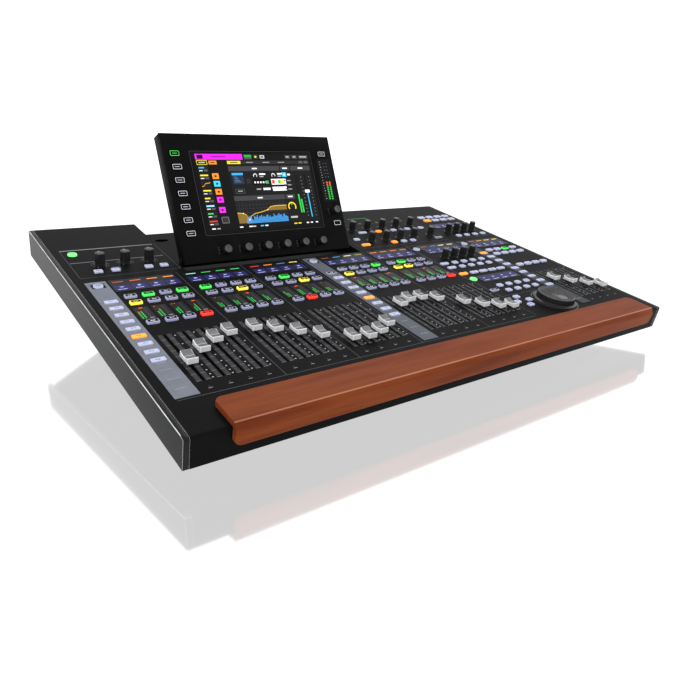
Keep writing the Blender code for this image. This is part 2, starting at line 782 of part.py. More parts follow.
def make_display_well(frame, finish):
    """The tray below the screen: floor and three walls, open to the rear."""
    left, right = (edge + shift for edge, shift in zip(well_edges(), (GAP, -GAP)))
    front = along(WELL_FRONT) + GAP
    bottom = -WELL_DEPTH - SHEET
    block = ((left, front, bottom), (right, SLOPE_LENGTH - GAP, 0.0))
    inside = (
        (left + SHEET, front + SHEET, -WELL_DEPTH),
        (right - SHEET, SLOPE_LENGTH + SHEET, SHEET),
    )
    tray = add_object("display_well", box_mesh("display_well", block), finish, frame)
    combine(tray, add_helper("well_inside", box_mesh("well_inside", inside), frame), "DIFFERENCE")
    u, v, half_u, half_v = WELL_CABLE_SLOT
    bm = bmesh.new()
    centre = (across(u), along(v), bottom)
    add_cylinder(bm, centre, half_v, 4 * SHEET, ROUND_SIDES, stretch=half_u / half_v)
    combine(tray, add_helper("cable_slot", new_mesh(bm, "cable_slot"), frame), "DIFFERENCE")


def make_main_board(finish):
    """The main circuit board on its pillars, with the block of rear connectors."""
    floor = BASE_HEIGHT + SHEET + GAP
    board_low = floor + FLOOR_SPACE
    board_high = board_low + BOARD_THICKNESS
    half = BOARD_HALF_WIDTH
    left, right, low, high = CONNECTORS
    inside = rear_panel_y()
    face = inside + REAR_PANEL_THICKNESS + GAP
    front = FRONT_EDGE_Y + 2 * BASE_STEP_END
    board = ((-half, front, board_low), (right + MAT_MARGIN, inside - GAP, board_high))
    pillar = 3 * MAT_MARGIN
    joined = [((left, inside - CONNECTOR_DEPTH, low), (right, face, high))]
    stand = ((left, inside - CONNECTOR_DEPTH, floor), (right, inside - 2 * GAP, low + CUT))
    joined.append(stand)
    for x in (-half, right - pillar):
        joined.append(((x, front, floor), (x + pillar, front + pillar, board_high + CUT)))
    part = add_object("main_board", box_mesh("main_board", board), finish)
    for index, solid in enumerate(joined, 1):
        name = f"main_board_block_{index}"
        combine(part, add_helper(name, box_mesh(name, solid)), "UNION")


def make_power_supply(finish):
    """The power unit, whose inlet reaches through the rear panel."""
    floor = BASE_HEIGHT + SHEET + GAP
    inside = rear_panel_y() - GAP
    case_low = (SUPPLY_LEFT, inside - SUPPLY_LENGTH, floor)
    case = (case_low, (BOARD_HALF_WIDTH, inside, floor + SUPPLY_HEIGHT))
    left, right, low, high = INLET
    part = add_object("power_supply", box_mesh("power_supply", case), finish)
    face = rear_panel_y() + REAR_PANEL_THICKNESS + GAP
    inlet = box_mesh("inlet_body", ((left, inside - CUT, low), (right, face, high)))
    combine(part, add_helper("inlet_body", inlet), "UNION")


# Screen.


def on_screen(x, y, depth):
    """A place on the screen: x from its left edge, y up from its lower edge, depth behind its face."""
    return (x, y - HINGE_UP, HINGE_BACK - depth)


def screen_box(x0, x1, y0, y1, depth0, depth1):
    """A box between two depths behind the screen's face."""
    return (on_screen(x0, y0, depth1), on_screen(x1, y1, depth0))


def screen_keys():
    """Places of the screen's keys: the left column, then the two at the right."""
    first = GLASS_BOTTOM + SCREEN_KEY_FIRST
    rows = [first + SCREEN_KEY_PITCH * index for index in range(SCREEN_KEYS)]
    right = [
        (SCREEN_WIDTH - UPPER_RIGHT_KEY, rows[-1]),
        (SCREEN_WIDTH - LOWER_RIGHT_KEY, rows[0]),
    ]
    return [(SCREEN_KEY_COLUMN, row) for row in rows] + right


def encoder_places():
    """Places of the knobs on the screen's face."""
    span = SCREEN_WIDTH - GLASS_RIGHT_MARGIN - ENCODER_LAST_MARGIN - ENCODER_FIRST
    pitch = span / (SCREEN_ENCODERS - 1)
    return [(ENCODER_FIRST + pitch * index, ENCODER_UP) for index in range(SCREEN_ENCODERS)]


def key_boxes(grow, depth0, depth1):
    half_x, half_y = SCREEN_KEY[0] / 2 + grow, SCREEN_KEY[1] / 2 + grow
    return [
        screen_box(x - half_x, x + half_x, y - half_y, y + half_y, depth0, depth1)
        for x, y in screen_keys()
    ]


def make_display_bezel(frame, finish):
    glass_right = SCREEN_WIDTH - GLASS_RIGHT_MARGIN
    glass_top = SCREEN_HEIGHT - GLASS_TOP_MARGIN
    plate = screen_box(0, SCREEN_WIDTH, 0, SCREEN_HEIGHT, 0, BEZEL_THICKNESS)
    bezel = add_object("display_bezel", box_mesh("display_bezel", plate), finish, frame)
    deep = BEZEL_THICKNESS + CUT
    bm = bmesh.new()
    window = (GLASS_LEFT - GAP, glass_right + GAP, GLASS_BOTTOM - GAP, glass_top + GAP)
    add_box(bm, *screen_box(*window, -CUT, deep))
    for low, high in key_boxes(KEY_GAP, -CUT, deep):
        add_box(bm, low, high)
    level = (SCREEN_WIDTH - LEVEL_RIGHT_MARGIN, LEVEL_UP)
    for x, y in [*encoder_places(), level]:
        centre = on_screen(x, y, deep / 2)
        add_cylinder(bm, centre, SHAFT_RADIUS + SHAFT_GAP, deep + 2, ROUND_SIDES)
    cutter = add_helper("bezel_openings", new_mesh(bm, "bezel_openings"), frame)
    combine(bezel, cutter, "DIFFERENCE")


def make_display_glass(frame, finish):
    glass_right = SCREEN_WIDTH - GLASS_RIGHT_MARGIN
    glass_top = SCREEN_HEIGHT - GLASS_TOP_MARGIN
    pane = screen_box(GLASS_LEFT, glass_right, GLASS_BOTTOM, glass_top, GAP, BEZEL_THICKNESS)
    add_object("display_glass", box_mesh("display_glass", pane), finish, frame)


def make_display_back(frame, finish):
    """The screen's rear housing: hollow behind the bezel, bored along its sill for the hinge rod."""
    front = BEZEL_THICKNESS + GAP
    block = screen_box(0, SCREEN_WIDTH, 0, SCREEN_HEIGHT, front, SCREEN_THICKNESS)
    back = add_object("display_back", box_mesh("display_back", block), finish, frame)
    wall = SCREEN_WALL
    hollow = screen_box(
        wall,
        SCREEN_WIDTH - wall,
        SCREEN_SILL,
        SCREEN_HEIGHT - wall,
        front - CUT,
        SCREEN_THICKNESS - wall,
    )
    bm = bmesh.new()
    add_box(bm, *hollow)
    quarter = Matrix.Rotation(math.pi / 2, 4, "Y")
    bore = HINGE_RADIUS + HINGE_GAP
    add_cylinder(bm, (SCREEN_WIDTH / 2, 0, 0), bore, SCREEN_WIDTH + 4, HINGE_SIDES, quarter)
    cutter = add_helper("display_hollows", new_mesh(bm, "display_hollows"), frame)
    combine(back, cutter, "DIFFERENCE")


def make_display_keys(frame, finish):
    """The screen's key mat: a web behind the bezel that joins both columns."""
    near = BEZEL_THICKNESS + GAP + KEY_TRAVEL
    far = near + MAT_THICKNESS
    keys = screen_keys()
    half = SCREEN_KEY[1] / 2 + KEY_GAP
    width = SCREEN_KEY[0] / 2 + KEY_GAP
    outer = SCREEN_WIDTH - 3 * SCREEN_WALL
    strip_low = GLASS_BOTTOM - SCREEN_WEB_DROP
    clear = SCREEN_WIDTH - LEVEL_RIGHT_MARGIN + SHAFT_RADIUS + 3 * SHAFT_GAP
    low_right, high_right = keys[-1], keys[-2]
    webs = [
        screen_box(
            SCREEN_KEY_COLUMN - width, outer, strip_low, strip_low + SCREEN_WEB, near, far
        ),
        screen_box(
            SCREEN_KEY_COLUMN - width,
            SCREEN_KEY_COLUMN + width,
            strip_low,
            keys[SCREEN_KEYS - 1][1] + half,
            near,
            far,
        ),
        screen_box(clear, outer, strip_low, high_right[1] + half, near, far),
        screen_box(
            high_right[0] - width, outer, high_right[1] - half, high_right[1] + half, near, far
        ),
        screen_box(
            low_right[0] - width, outer, low_right[1] - half, low_right[1] + half, near, far
        ),
    ]
    mat = add_object("display_keys", box_mesh("display_keys", webs[0]), finish, frame)
    for index, web in enumerate(webs[1:], 2):
        name = f"display_web_{index}"
        combine(mat, add_helper(name, box_mesh(name, web), frame), "UNION")
    tops = box_mesh("display_tops", *key_boxes(0.0, -SCREEN_KEY_PROUD, (near + far) / 2))
    combine(mat, add_helper("display_tops", tops, frame), "UNION")


def make_screen_encoders(frame, finish):
    mesh = knob_mesh("screen_encoder", ENCODER_RADIUS, ENCODER_HEIGHT)
    for index, (x, y) in enumerate(encoder_places(), 1):
        add_object(f"screen_encoder_{index}", mesh, finish, frame, on_screen(x, y, 0))
    level = on_screen(SCREEN_WIDTH - LEVEL_RIGHT_MARGIN, LEVEL_UP, 0)
    add_object("level_encoder", mesh, finish, frame, level)


def hinge_place():
    """v and n of the hinge rod in the panel's frame."""
    cos, sin = math.cos(SCREEN_ANGLE), math.sin(SCREEN_ANGLE)
    v = along(SCREEN_FRONT) + HINGE_UP * cos + HINGE_BACK * sin
    return v, HINGE_UP * sin - HINGE_BACK * cos


def make_hinge_bracket(frame, finish):
    """The fixed hinge rod, two ears and the foot that bolts to the well's floor."""
    v, n = hinge_place()
    left = across(SCREEN_LEFT) - SIDE_SPACE - EAR_THICKNESS
    right = across(SCREEN_LEFT) + SCREEN_WIDTH + SIDE_SPACE + EAR_THICKNESS
    floor = -WELL_DEPTH + GAP
    foot = ((left, v - EAR_REACH, floor), (right, v + EAR_REACH, floor + BRACKET_THICKNESS))
    bracket = add_object("hinge_bracket", box_mesh("hinge_bracket", foot), finish, frame)
    ears = [
        ((x, v - EAR_REACH, floor + CUT), (x + EAR_THICKNESS, v + EAR_REACH, n + EAR_REACH))
        for x in (left, right - EAR_THICKNESS)
    ]
    ear_mesh = box_mesh("hinge_ears", *ears)
    combine(bracket, add_helper("hinge_ears", ear_mesh, frame), "UNION")
    bm = bmesh.new()
    length = right - left - EAR_THICKNESS
    quarter = Matrix.Rotation(math.pi / 2, 4, "Y")
    add_cylinder(bm, ((left + right) / 2, v, n), HINGE_RADIUS, length, HINGE_SIDES, quarter)
    combine(bracket, add_helper("hinge_rod", new_mesh(bm, "hinge_rod"), frame), "UNION")


def clear_scene():
    for item in list(bpy.data.objects):
        bpy.data.objects.remove(item, do_unlink=True)
    for name in (NAME, "cutters"):
        collection = bpy.data.collections.new(name)
        bpy.context.scene.collection.children.link(collection)
    bpy.data.collections["cutters"].hide_render = True


def main():
    clear_scene()
    black = material("powder_coat", (0.028, 0.029, 0.031), 0.5)
    steel = material("zinc_steel", (0.55, 0.56, 0.58), 0.35, 1.0)
    cheek = material("cheek_coat", (0.035, 0.036, 0.038), 0.42)
    wood = material("cherry_wood", (0.23, 0.065, 0.04), 0.4)
    cap = material("fader_cap", (0.62, 0.63, 0.65), 0.4)
    key = material("key_silicone", (0.68, 0.68, 0.78), 0.5)
    knob = material("knob_rubber", (0.02, 0.02, 0.022), 0.55)
    jog = material("jog_plastic", (0.07, 0.07, 0.075), 0.45)
    glass = material("screen_glass", (0.02, 0.03, 0.06), 0.08)
    rubber = material("foot_rubber", (0.02, 0.02, 0.02), 0.85)
    board = material("circuit_board", (0.03, 0.16, 0.08), 0.5)

    panel = empty("panel_frame", None, (0, FRONT_EDGE_Y, FRONT_EDGE_HEIGHT), PANEL_ANGLE)
    make_bottom_tub(black)
    make_rear_panel(black)
    make_feet(rubber)
    make_main_board(board)
    make_power_supply(steel)
    make_top_panel(panel, black)
    make_cheek("left_cheek", -1, panel, cheek)
    make_cheek("right_cheek", 1, panel, cheek)
    make_armrest(panel, wood)
    make_display_well(panel, black)
    make_fader_frame(panel, steel)
    make_faders(panel, cap)
    make_mat("channel_keys", channel_mat_keys(), CHANNEL_MAT_WEBS, panel, key)
    make_mat("control_keys", control_mat_keys(), CONTROL_MAT_WEBS, panel, key)
    monitor = knob_mesh("monitor_knob", MONITOR_KNOB_RADIUS, MONITOR_KNOB_HEIGHT)
    make_knobs("monitor_knob", MONITOR_KNOBS, monitor, panel, knob)
    custom = knob_mesh("custom_knob", TALL_KNOB_RADIUS, TALL_KNOB_HEIGHT)
    make_knobs("custom_knob", CUSTOM_KNOBS, custom, panel, knob)
    make_encoder_board("processing_encoders", PROCESSING_KNOBS, panel, knob)
    make_encoder_board("assign_encoders", ASSIGN_KNOBS, panel, knob)
    make_jog_wheel(panel, jog)

    make_hinge_bracket(panel, steel)
    hinge_v, hinge_n = hinge_place()
    screen_place = (across(SCREEN_LEFT), hinge_v, hinge_n)
    screen = empty("display_frame", panel, screen_place, SCREEN_ANGLE)
    make_display_bezel(screen, black)
    make_display_glass(screen, glass)
    make_display_back(screen, black)
    make_display_keys(screen, key)
    make_screen_encoders(screen, knob)


main()
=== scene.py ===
"""Looks of the mixing console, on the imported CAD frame.

Most pieces are drawn in millimetres in one of two frames: PANEL (u across from the left edge,
v up the slope from the front bend, n out of the panel) and SCREEN (x from the screen's left
edge, y up its face, z out of the face).
"""

import json
import math
import random

import bpy
from mathutils import Matrix, Vector


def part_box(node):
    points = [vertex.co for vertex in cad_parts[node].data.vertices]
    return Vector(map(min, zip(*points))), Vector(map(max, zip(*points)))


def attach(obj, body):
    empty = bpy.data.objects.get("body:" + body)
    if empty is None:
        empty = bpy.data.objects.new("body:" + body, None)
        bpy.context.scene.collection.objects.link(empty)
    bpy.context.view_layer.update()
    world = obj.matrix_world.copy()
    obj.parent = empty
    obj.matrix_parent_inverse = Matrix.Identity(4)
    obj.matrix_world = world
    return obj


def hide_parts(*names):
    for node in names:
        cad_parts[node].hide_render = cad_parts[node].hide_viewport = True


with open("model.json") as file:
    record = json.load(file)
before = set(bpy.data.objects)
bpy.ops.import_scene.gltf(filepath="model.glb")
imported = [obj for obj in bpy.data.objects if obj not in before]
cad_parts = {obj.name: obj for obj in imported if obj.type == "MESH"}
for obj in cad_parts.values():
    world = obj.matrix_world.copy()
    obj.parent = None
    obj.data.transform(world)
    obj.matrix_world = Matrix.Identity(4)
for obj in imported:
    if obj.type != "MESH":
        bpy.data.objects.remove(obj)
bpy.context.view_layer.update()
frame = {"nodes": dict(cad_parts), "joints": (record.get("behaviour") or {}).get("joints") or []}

MM = 0.001
NODES = frame["nodes"]
JOINTS = {joint["name"]: joint for joint in frame["joints"]}
CHANNEL_PITCH = 23.8
BLOCK_STARTS = (61.0, 167.0, 273.0, 408.0, 514.0, 772.5)
STRIP_COLUMNS = (33.0, 380.0, 745.5)
CUSTOM_COLUMNS = (642.0, 666.0, 690.0, 714.0)
ASSIGN_COLUMNS = (775.5, 800.0, 825.0, 849.0)
KEY_ROWS = (309.0, 289.0, 231.0)
STRIP_ROWS = tuple(142.4 + 19.7 * index for index in range(9))
BLOCKS = [[start + CHANNEL_PITCH * index for index in range(4)] for start in BLOCK_STARTS]
MONITOR_PLACES = ((59.0, 428.0), (95.0, 428.0), (131.0, 428.0))
PROCESSING_PLACES = [(u, 479.0) for u in (557.0, 594.0, 633.0, 670.0, 709.0)]
PROCESSING_PLACES += [(u, 417.0) for u in (557.0, 593.0, 629.5, 666.0, 712.0)]
ASSIGN_PLACES = ((771.0, 424.0), (795.0, 424.0), (819.0, 424.0), (843.0, 424.0))

# Keys: width, length and height above the panel. Their skirts start below it.
BLOCK_KEY = (15.5, 8.5, 3.0)
STRIP_KEY = (17, 8, 2.0)
SMALL_KEY = (11.5, 8.5, 2.5)
WIDE_KEY = (18.0, 7.0, 2.5)
ASSIGN_KEY = (17.0, 10.0, 2.5)
SKIRT_LOW = -2.4


# Frames.


def axes_matrix(across, up, out, origin):
    """Turns millimetres in a frame with these axes into world metres."""
    columns = [across * MM, up * MM, out * MM, origin]
    return Matrix([[*(column[row] for column in columns)] for row in range(3)] + [[0, 0, 0, 1]])


X_AXIS = Vector((1, 0, 0))
SLOPE = Vector(JOINTS["fader_01_slide"]["axis"]).normalized()
OUT = X_AXIS.cross(SLOPE)
FIRST_KNOB = Vector(JOINTS["monitor_knob_1_turn"]["pos_m"])
PANEL = axes_matrix(
    X_AXIS,
    SLOPE,
    OUT,
    FIRST_KNOB - X_AXIS * MONITOR_PLACES[0][0] * MM - SLOPE * MONITOR_PLACES[0][1] * MM,
)
FACE_OUT = Vector(JOINTS["display_keys_press"]["axis"]).normalized()
FACE_UP = FACE_OUT.cross(X_AXIS)
HINGE = Vector(JOINTS["display_tilt"]["pos_m"])
BEZEL_LOW, BEZEL_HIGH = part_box("display_bezel")
HINGE_UP = 8.0
HINGE_BACK = 11.0
SCREEN = axes_matrix(
    X_AXIS,
    FACE_UP,
    FACE_OUT,
    Vector((BEZEL_LOW.x, HINGE.y, HINGE.z)) - FACE_UP * HINGE_UP * MM + FACE_OUT * HINGE_BACK * MM,
)
WORLD = Matrix.Scale(MM, 4)


# Colours.


def rgb(code):
    """Linear colour of an sRGB hex code."""
    parts = [int(code[place : place + 2], 16) / 255 for place in (0, 2, 4)]
    return tuple(c / 12.92 if c < 0.04045 else ((c + 0.055) / 1.055) ** 2.4 for c in parts)


WHITE = (1, 1, 1)
LAVENDER = rgb("aeb1d2")
PALE = rgb("c3c6e4")
BLACK = rgb("0c0c0d")
INK = rgb("9a9aa2")
DIM_INK = rgb("56565c")
ORANGE = rgb("ff9a2e")
GREEN = rgb("4be35c")
RED = rgb("ff3a30")
YELLOW = rgb("ffe84a")
GREY_KEY = rgb("8d8f98")
LCD_BLUE = rgb("1d1c50")
LCD_MARK = rgb("b4b8f0")


# Materials.


def node(tree, kind, **settings):
    made = tree.nodes.new(kind)
    for name, value in settings.items():
        setattr(made, name, value)
    return made


def noise(tree, scale, detail=3.0, stretch=(1, 1, 1), kind="ShaderNodeTexNoise"):
    """Noise over object coordinates, in cycles per metre."""
    coordinates = node(tree, "ShaderNodeTexCoord")
    mapping = node(tree, "ShaderNodeMapping")
    mapping.inputs["Scale"].default_value = stretch
    texture = node(tree, kind)
    texture.inputs["Scale"].default_value = scale
    if kind == "ShaderNodeTexNoise":
        texture.inputs["Detail"].default_value = detail
    tree.links.new(coordinates.outputs["Object"], mapping.inputs["Vector"])
    tree.links.new(mapping.outputs["Vector"], texture.inputs["Vector"])
    return texture


def ramp(tree, source, stops):
    made = node(tree, "ShaderNodeValToRGB")
    elements = made.color_ramp.elements
    while len(elements) < len(stops):
        elements.new(0.5)
    for element, (place, colour) in zip(elements, stops):
        element.position = place
        element.color = (*colour, 1)
    tree.links.new(source, made.inputs["Fac"])
    return made.outputs["Color"]


def map_range(tree, source, low, high, start=0.3, end=0.7):
    made = node(tree, "ShaderNodeMapRange")
    for name, value in (("From Min", start), ("From Max", end), ("To Min", low), ("To Max", high)):
        made.inputs[name].default_value = value
    tree.links.new(source, made.inputs["Value"])
    return made.outputs["Result"]


def multiply(tree, first, second):
    made = node(tree, "ShaderNodeMix", data_type="RGBA", blend_type="MULTIPLY")
    made.inputs["Factor"].default_value = 1
    tree.links.new(first, made.inputs["A"])
    tree.links.new(second, made.inputs["B"])
    return made.outputs["Result"]


def bump(tree, shader, height, strength, distance):
    made = node(tree, "ShaderNodeBump")
    made.inputs["Strength"].default_value = strength
    made.inputs["Distance"].default_value = distance
    tree.links.new(height, made.inputs["Height"])
    tree.links.new(made.outputs["Normal"], shader.inputs["Normal"])


def surface(
    name,
    colour=None,
    spread=0.12,
    cloud=60.0,
    grain=1500.0,
    rough=(0.4, 0.5),
    relief=0.1,
    depth=0.0002,
    stretch=(1, 1, 1),
    glow=0.0,
    **sockets,
):
    """Principled material with mottled colour, uneven roughness and a fine relief.

    colour is linear, or an sRGB hex code. With none, the mesh's own "tint" is taken.
    """
    material = bpy.data.materials.new(name)
    material.use_nodes = True
    tree = material.node_tree
    shader = tree.nodes["Principled BSDF"]
    for socket, value in sockets.items():
        shader.inputs[socket.replace("_", " ")].default_value = value
    clouds = noise(tree, cloud, stretch=stretch).outputs["Fac"]
    fine = noise(tree, grain, stretch=stretch).outputs["Fac"]
    if colour:
        colour = rgb(colour) if isinstance(colour, str) else colour
        low = tuple(c * (1 - spread) for c in colour)
        high = tuple(min(1, c * (1 + spread)) for c in colour)
        painted = ramp(tree, clouds, ((0.3, low), (0.7, high)))
    else:
        attribute = node(tree, "ShaderNodeAttribute", attribute_name="tint")
        shade = ramp(tree, clouds, ((0.3, (1 - spread,) * 3), (0.7, WHITE)))
        painted = multiply(tree, attribute.outputs["Color"], shade)
    tree.links.new(painted, shader.inputs["Base Color"])
    tree.links.new(map_range(tree, fine, *rough), shader.inputs["Roughness"])
    bump(tree, shader, fine, relief, depth)
    if glow:
        tree.links.new(painted, shader.inputs["Emission Color"])
        shader.inputs["Emission Strength"].default_value = glow
    return material


def wood_material(name, codes):
    """Satin wood with its grain along X. codes are four shades of it."""
    material = bpy.data.materials.new(name)
    material.use_nodes = True
    tree = material.node_tree
    shader = tree.nodes["Principled BSDF"]
    bands = noise(tree, 26.0, 6.0, stretch=(0.16, 1.6, 1.6)).outputs["Fac"]
    fibres = noise(tree, 520.0, 4.0, stretch=(0.03, 1, 1)).outputs["Fac"]
    pores = noise(tree, 1400.0, 2.0, stretch=(0.04, 1, 1)).outputs["Fac"]
    base = ramp(tree, bands, tuple(zip((0.3, 0.45, 0.55, 0.72), (rgb(code) for code in codes))))
    streaks = ramp(tree, fibres, ((0.35, (0.84, 0.8, 0.78)), (0.62, (1.0, 1.0, 1.0))))
    tree.links.new(multiply(tree, base, streaks), shader.inputs["Base Color"])
    tree.links.new(map_range(tree, fibres, 0.42, 0.52), shader.inputs["Roughness"])
    bump(tree, shader, pores, 0.12, 0.0001)
    shader.inputs["Specular IOR Level"].default_value = 0.06
    return material


def board_material():
    """Green lacquered circuit board with tracks and pads."""
    material = surface("circuit_board", "14502c", rough=(0.3, 0.45), Coat_Weight=0.3)
    tree = material.node_tree
    shader = tree.nodes["Principled BSDF"]
    tracks = noise(tree, 260.0, kind="ShaderNodeTexVoronoi")
    lines = ramp(
        tree, tracks.outputs["Distance"], ((0.42, rgb("0f3f22")), (0.5, rgb("2c7a48")))
    )
    tree.links.new(lines, shader.inputs["Base Color"])
    return material


POWDER = surface(
    "powder_coat", "0d0d0e", spread=0.14, grain=1400.0, rough=(0.46, 0.6), relief=0.25,
    Specular_IOR_Level=0.04,
)
CHEEK = surface(
    "cheek_coat", "131415", grain=1900.0, rough=(0.4, 0.5), relief=0.16, Specular_IOR_Level=0.16,
)
# Light grey for the cheeks' rounded edges and edge lines: a painted highlight.
EDGE_HIGHLIGHT = surface(
    "cheek_edge_highlight", "d0d0d2", spread=0.2, grain=1900.0, rough=(0.3, 0.4), relief=0.1,
    Specular_IOR_Level=0.4,
)
# Black for black parts, and flat black in slots, holes and sockets: painted shade there.
BLACK_AND_SHADE = surface("black_and_hole_shade", "0b0b0c", rough=(0.55, 0.7), Specular_IOR_Level=0.15)
ZINC = surface(
    "zinc_steel", "9a9da3", cloud=90.0, grain=900.0, stretch=(0.1, 1, 1), rough=(0.25, 0.42),
    Metallic=1.0,
)
RUBBER = surface("foot_rubber", "161616", rough=(0.7, 0.85), relief=0.3)
BOARD = board_material()
WOOD = wood_material("cherry_wood", ("662d15", "7b3a1c", "83401f", "6d3117"))
# Lighter wood for the fillet along the armrest's nose: a painted highlight.
WOOD_HIGHLIGHT = wood_material("cherry_painted_highlight", ("a56a4c", "b0765a", "b87e62", "a87054"))
CAP = surface("fader_cap", None, spread=0.06, grain=2600.0, rough=(0.32, 0.44), relief=0.08)
SILICONE = surface(
    "key_silicone", None, spread=0.08, grain=2200.0, rough=(0.38, 0.5), relief=0.06, glow=0.1,
    Specular_IOR_Level=0.2, Subsurface_Weight=0.1,
)
LIT_SILICONE = surface(
    "lit_silicone", None, spread=0.08, grain=2200.0, rough=(0.38, 0.5), relief=0.06, glow=0.75,
)
KNOB = surface(
    "knob_rubber", None, spread=0.1, grain=2600.0, rough=(0.26, 0.36), relief=0.06,
    Specular_IOR_Level=0.4,
)
JOG = surface(
    "jog_plastic", None, spread=0.05, grain=2600.0, rough=(0.28, 0.34), relief=0.02,
    Specular_IOR_Level=0.3,
)
PRINT = surface(
    "panel_print", None, spread=0.12, grain=1800.0, rough=(0.55, 0.68), Specular_IOR_Level=0.05,
)
GLASS = surface(
    "screen_glass", "050506", spread=0.2, cloud=8.0, grain=300.0, rough=(0.16, 0.22),
    relief=0.01, Specular_IOR_Level=0.12,
)
LENS = surface(
    "lens_black", "08080b", cloud=20.0, grain=500.0, rough=(0.34, 0.44), relief=0.01,
    Specular_IOR_Level=0.12,
)
LIGHT = surface(
    "lit_marks", None, spread=0.15, cloud=900.0, rough=(0.4, 0.5), glow=0.75,
    Specular_IOR_Level=0.1,
)


# Meshes.


class Piece:
    """A mesh that grows shape by shape, in millimetres on a grid.

    Each shape has a material and a tint, which is a colour or its sRGB hex code.
    """

    def __init__(self, name, slot, body="console", replaced=(), grid=PANEL):
        self.name, self.slot, self.body = name, slot, body
        self.replaced, self.grid = replaced, grid
        self.points, self.faces, self.looks, self.materials = [], [], [], []

    def add(self, points, faces, material, tint=WHITE, smooth=False, grid=None):
        if material not in self.materials:
            self.materials.append(material)
        tint = rgb(tint) if isinstance(tint, str) else tint
        look = (self.materials.index(material), tint, smooth)
        start = len(self.points)
        self.points += [(grid or self.grid) @ Vector(point) for point in points]
        self.faces += [[start + index for index in face] for face in faces]
        self.looks += [look] * len(faces)

    def mesh(self):
        mesh = bpy.data.meshes.new(self.name)
        mesh.from_pydata(self.points, [], self.faces)
        for material in self.materials:
            mesh.materials.append(material)
        tints = []
        for polygon, (index, tint, smooth) in zip(mesh.polygons, self.looks):
            polygon.material_index = index
            polygon.use_smooth = smooth
            tints += [*tint, 1.0] * polygon.loop_total
        layer = mesh.color_attributes.new("tint", "FLOAT_COLOR", "CORNER")
        layer.data.foreach_set("color", tints)
        mesh.update()
        return mesh

    def finish(self, mesh=None, place=None):
        made = bpy.data.objects.new(self.name, mesh or self.mesh())
        bpy.context.scene.collection.objects.link(made)
        if place:
            made.matrix_world = place
        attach(made, self.body)
        if self.replaced:
            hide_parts(*self.replaced)


def rounded(x0, x1, y0, y1, radius, steps=3):
    """Outline of a rectangle with round corners, anticlockwise."""
    radius = max(0.0, min(radius, (x1 - x0) / 2 - 0.01, (y1 - y0) / 2 - 0.01))
    if radius < 0.05:
        return [(x0, y0), (x1, y0), (x1, y1), (x0, y1)]
    corners = (
        (x1 - radius, y0 + radius, -90),
        (x1 - radius, y1 - radius, 0),
        (x0 + radius, y1 - radius, 90),
        (x0 + radius, y0 + radius, 180),
    )
    points = []
    for cx, cy, start in corners:
        for step in range(steps + 1):
            angle = math.radians(start + 90 * step / steps)
            points.append((cx + radius * math.cos(angle), cy + radius * math.sin(angle)))
    return points


def circle(cx, cy, radius, sides):
    turn = 2 * math.pi / sides
    return [
        (cx + radius * math.cos(turn * i), cy + radius * math.sin(turn * i)) for i in range(sides)
    ]


def around(x, y, across, up):
    """Box about a centre, from its half sizes."""
    return (x - across, x + across, y - up, y + up)


def loft(piece, rings, material, tint=WHITE, smooth=False, low_cap=False, cap=True):
    """Joins rings of equal length into a skin, closed on top, and below where asked."""
    count = len(rings[0])
    faces = []
    for level in range(len(rings) - 1):
        low, high = level * count, (level + 1) * count
        for index in range(count):
            after = (index + 1) % count
            faces.append((low + index, low + after, high + after, high + index))
    piece.add(sum(rings, []), faces, material, tint, smooth)
    if cap:
        piece.add(rings[-1], [tuple(range(count))], material, tint)
    if low_cap:
        piece.add(rings[0], [tuple(reversed(range(count)))], material, tint)


def slab(piece, box, z0, z1, material, tint=WHITE, radius=0.0, edge=0.0, low_cap=False):
    """Upright block with round corners and a bevelled upper edge. box is x0, x1, y0, y1."""
    x0, x1, y0, y1 = box
    rings = [[(x, y, z) for x, y in rounded(*box, radius)] for z in (z0, z1 - edge)]
    if edge:
        soft = edge * 0.35
        near = (x0 + soft, x1 - soft, y0 + soft, y1 - soft)
        inset = (x0 + edge, x1 - edge, y0 + edge, y1 - edge)
        radii = (max(radius - soft, 0.06), max(radius - edge, 0.06)) if radius else (0, 0)
        rings.append([(x, y, z1 - soft) for x, y in rounded(*near, radii[0])])
        rings.append([(x, y, z1) for x, y in rounded(*inset, radii[1])])
    if len({len(ring) for ring in rings}) > 1:
        rings = rings[:2]
    loft(piece, rings, material, tint, low_cap=low_cap)


def patch(piece, box, z, material, tint, radius=0.0, grid=None):
    """Flat printed area."""
    points = [(x, y, z) for x, y in rounded(*box, radius)]
    piece.add(points, [tuple(range(len(points)))], material, tint, grid=grid)


def frame_line(piece, box, z, width, material, tint, radius=0.0):
    """Flat printed outline."""
    x0, x1, y0, y1 = box
    outer = rounded(x0, x1, y0, y1, radius)
    inner = rounded(x0 + width, x1 - width, y0 + width, y1 - width, max(radius - width, 0.06))
    if len(inner) != len(outer):
        inner = [(x0 + width, y0 + width), (x1 - width, y0 + width)]
        inner += [(x1 - width, y1 - width), (x0 + width, y1 - width)]
        outer = [(x0, y0), (x1, y0), (x1, y1), (x0, y1)]
    count = len(outer)
    points = [(x, y, z) for x, y in outer + inner]
    faces = [(i, (i + 1) % count, (i + 1) % count + count, i + count) for i in range(count)]
    piece.add(points, faces, material, tint)


def turned(piece, centre, profile, sides, material, tint=WHITE, flutes=(), smooth=True, cap=True):
    """Turned shape. profile is (radius, height) upwards; flutes are (count, depth)."""
    rings = []
    for radius, height in profile:
        ring = []
        for index in range(sides):
            angle = 2 * math.pi * index / sides
            reach = radius
            if flutes:
                reach -= flutes[1] * max(0.0, math.cos(flutes[0] * angle)) ** 2
            ring.append(
                (centre[0] + reach * math.cos(angle), centre[1] + reach * math.sin(angle), height)
            )
        rings.append(ring)
    loft(piece, rings, material, tint, smooth=smooth, cap=cap)


# Casing.


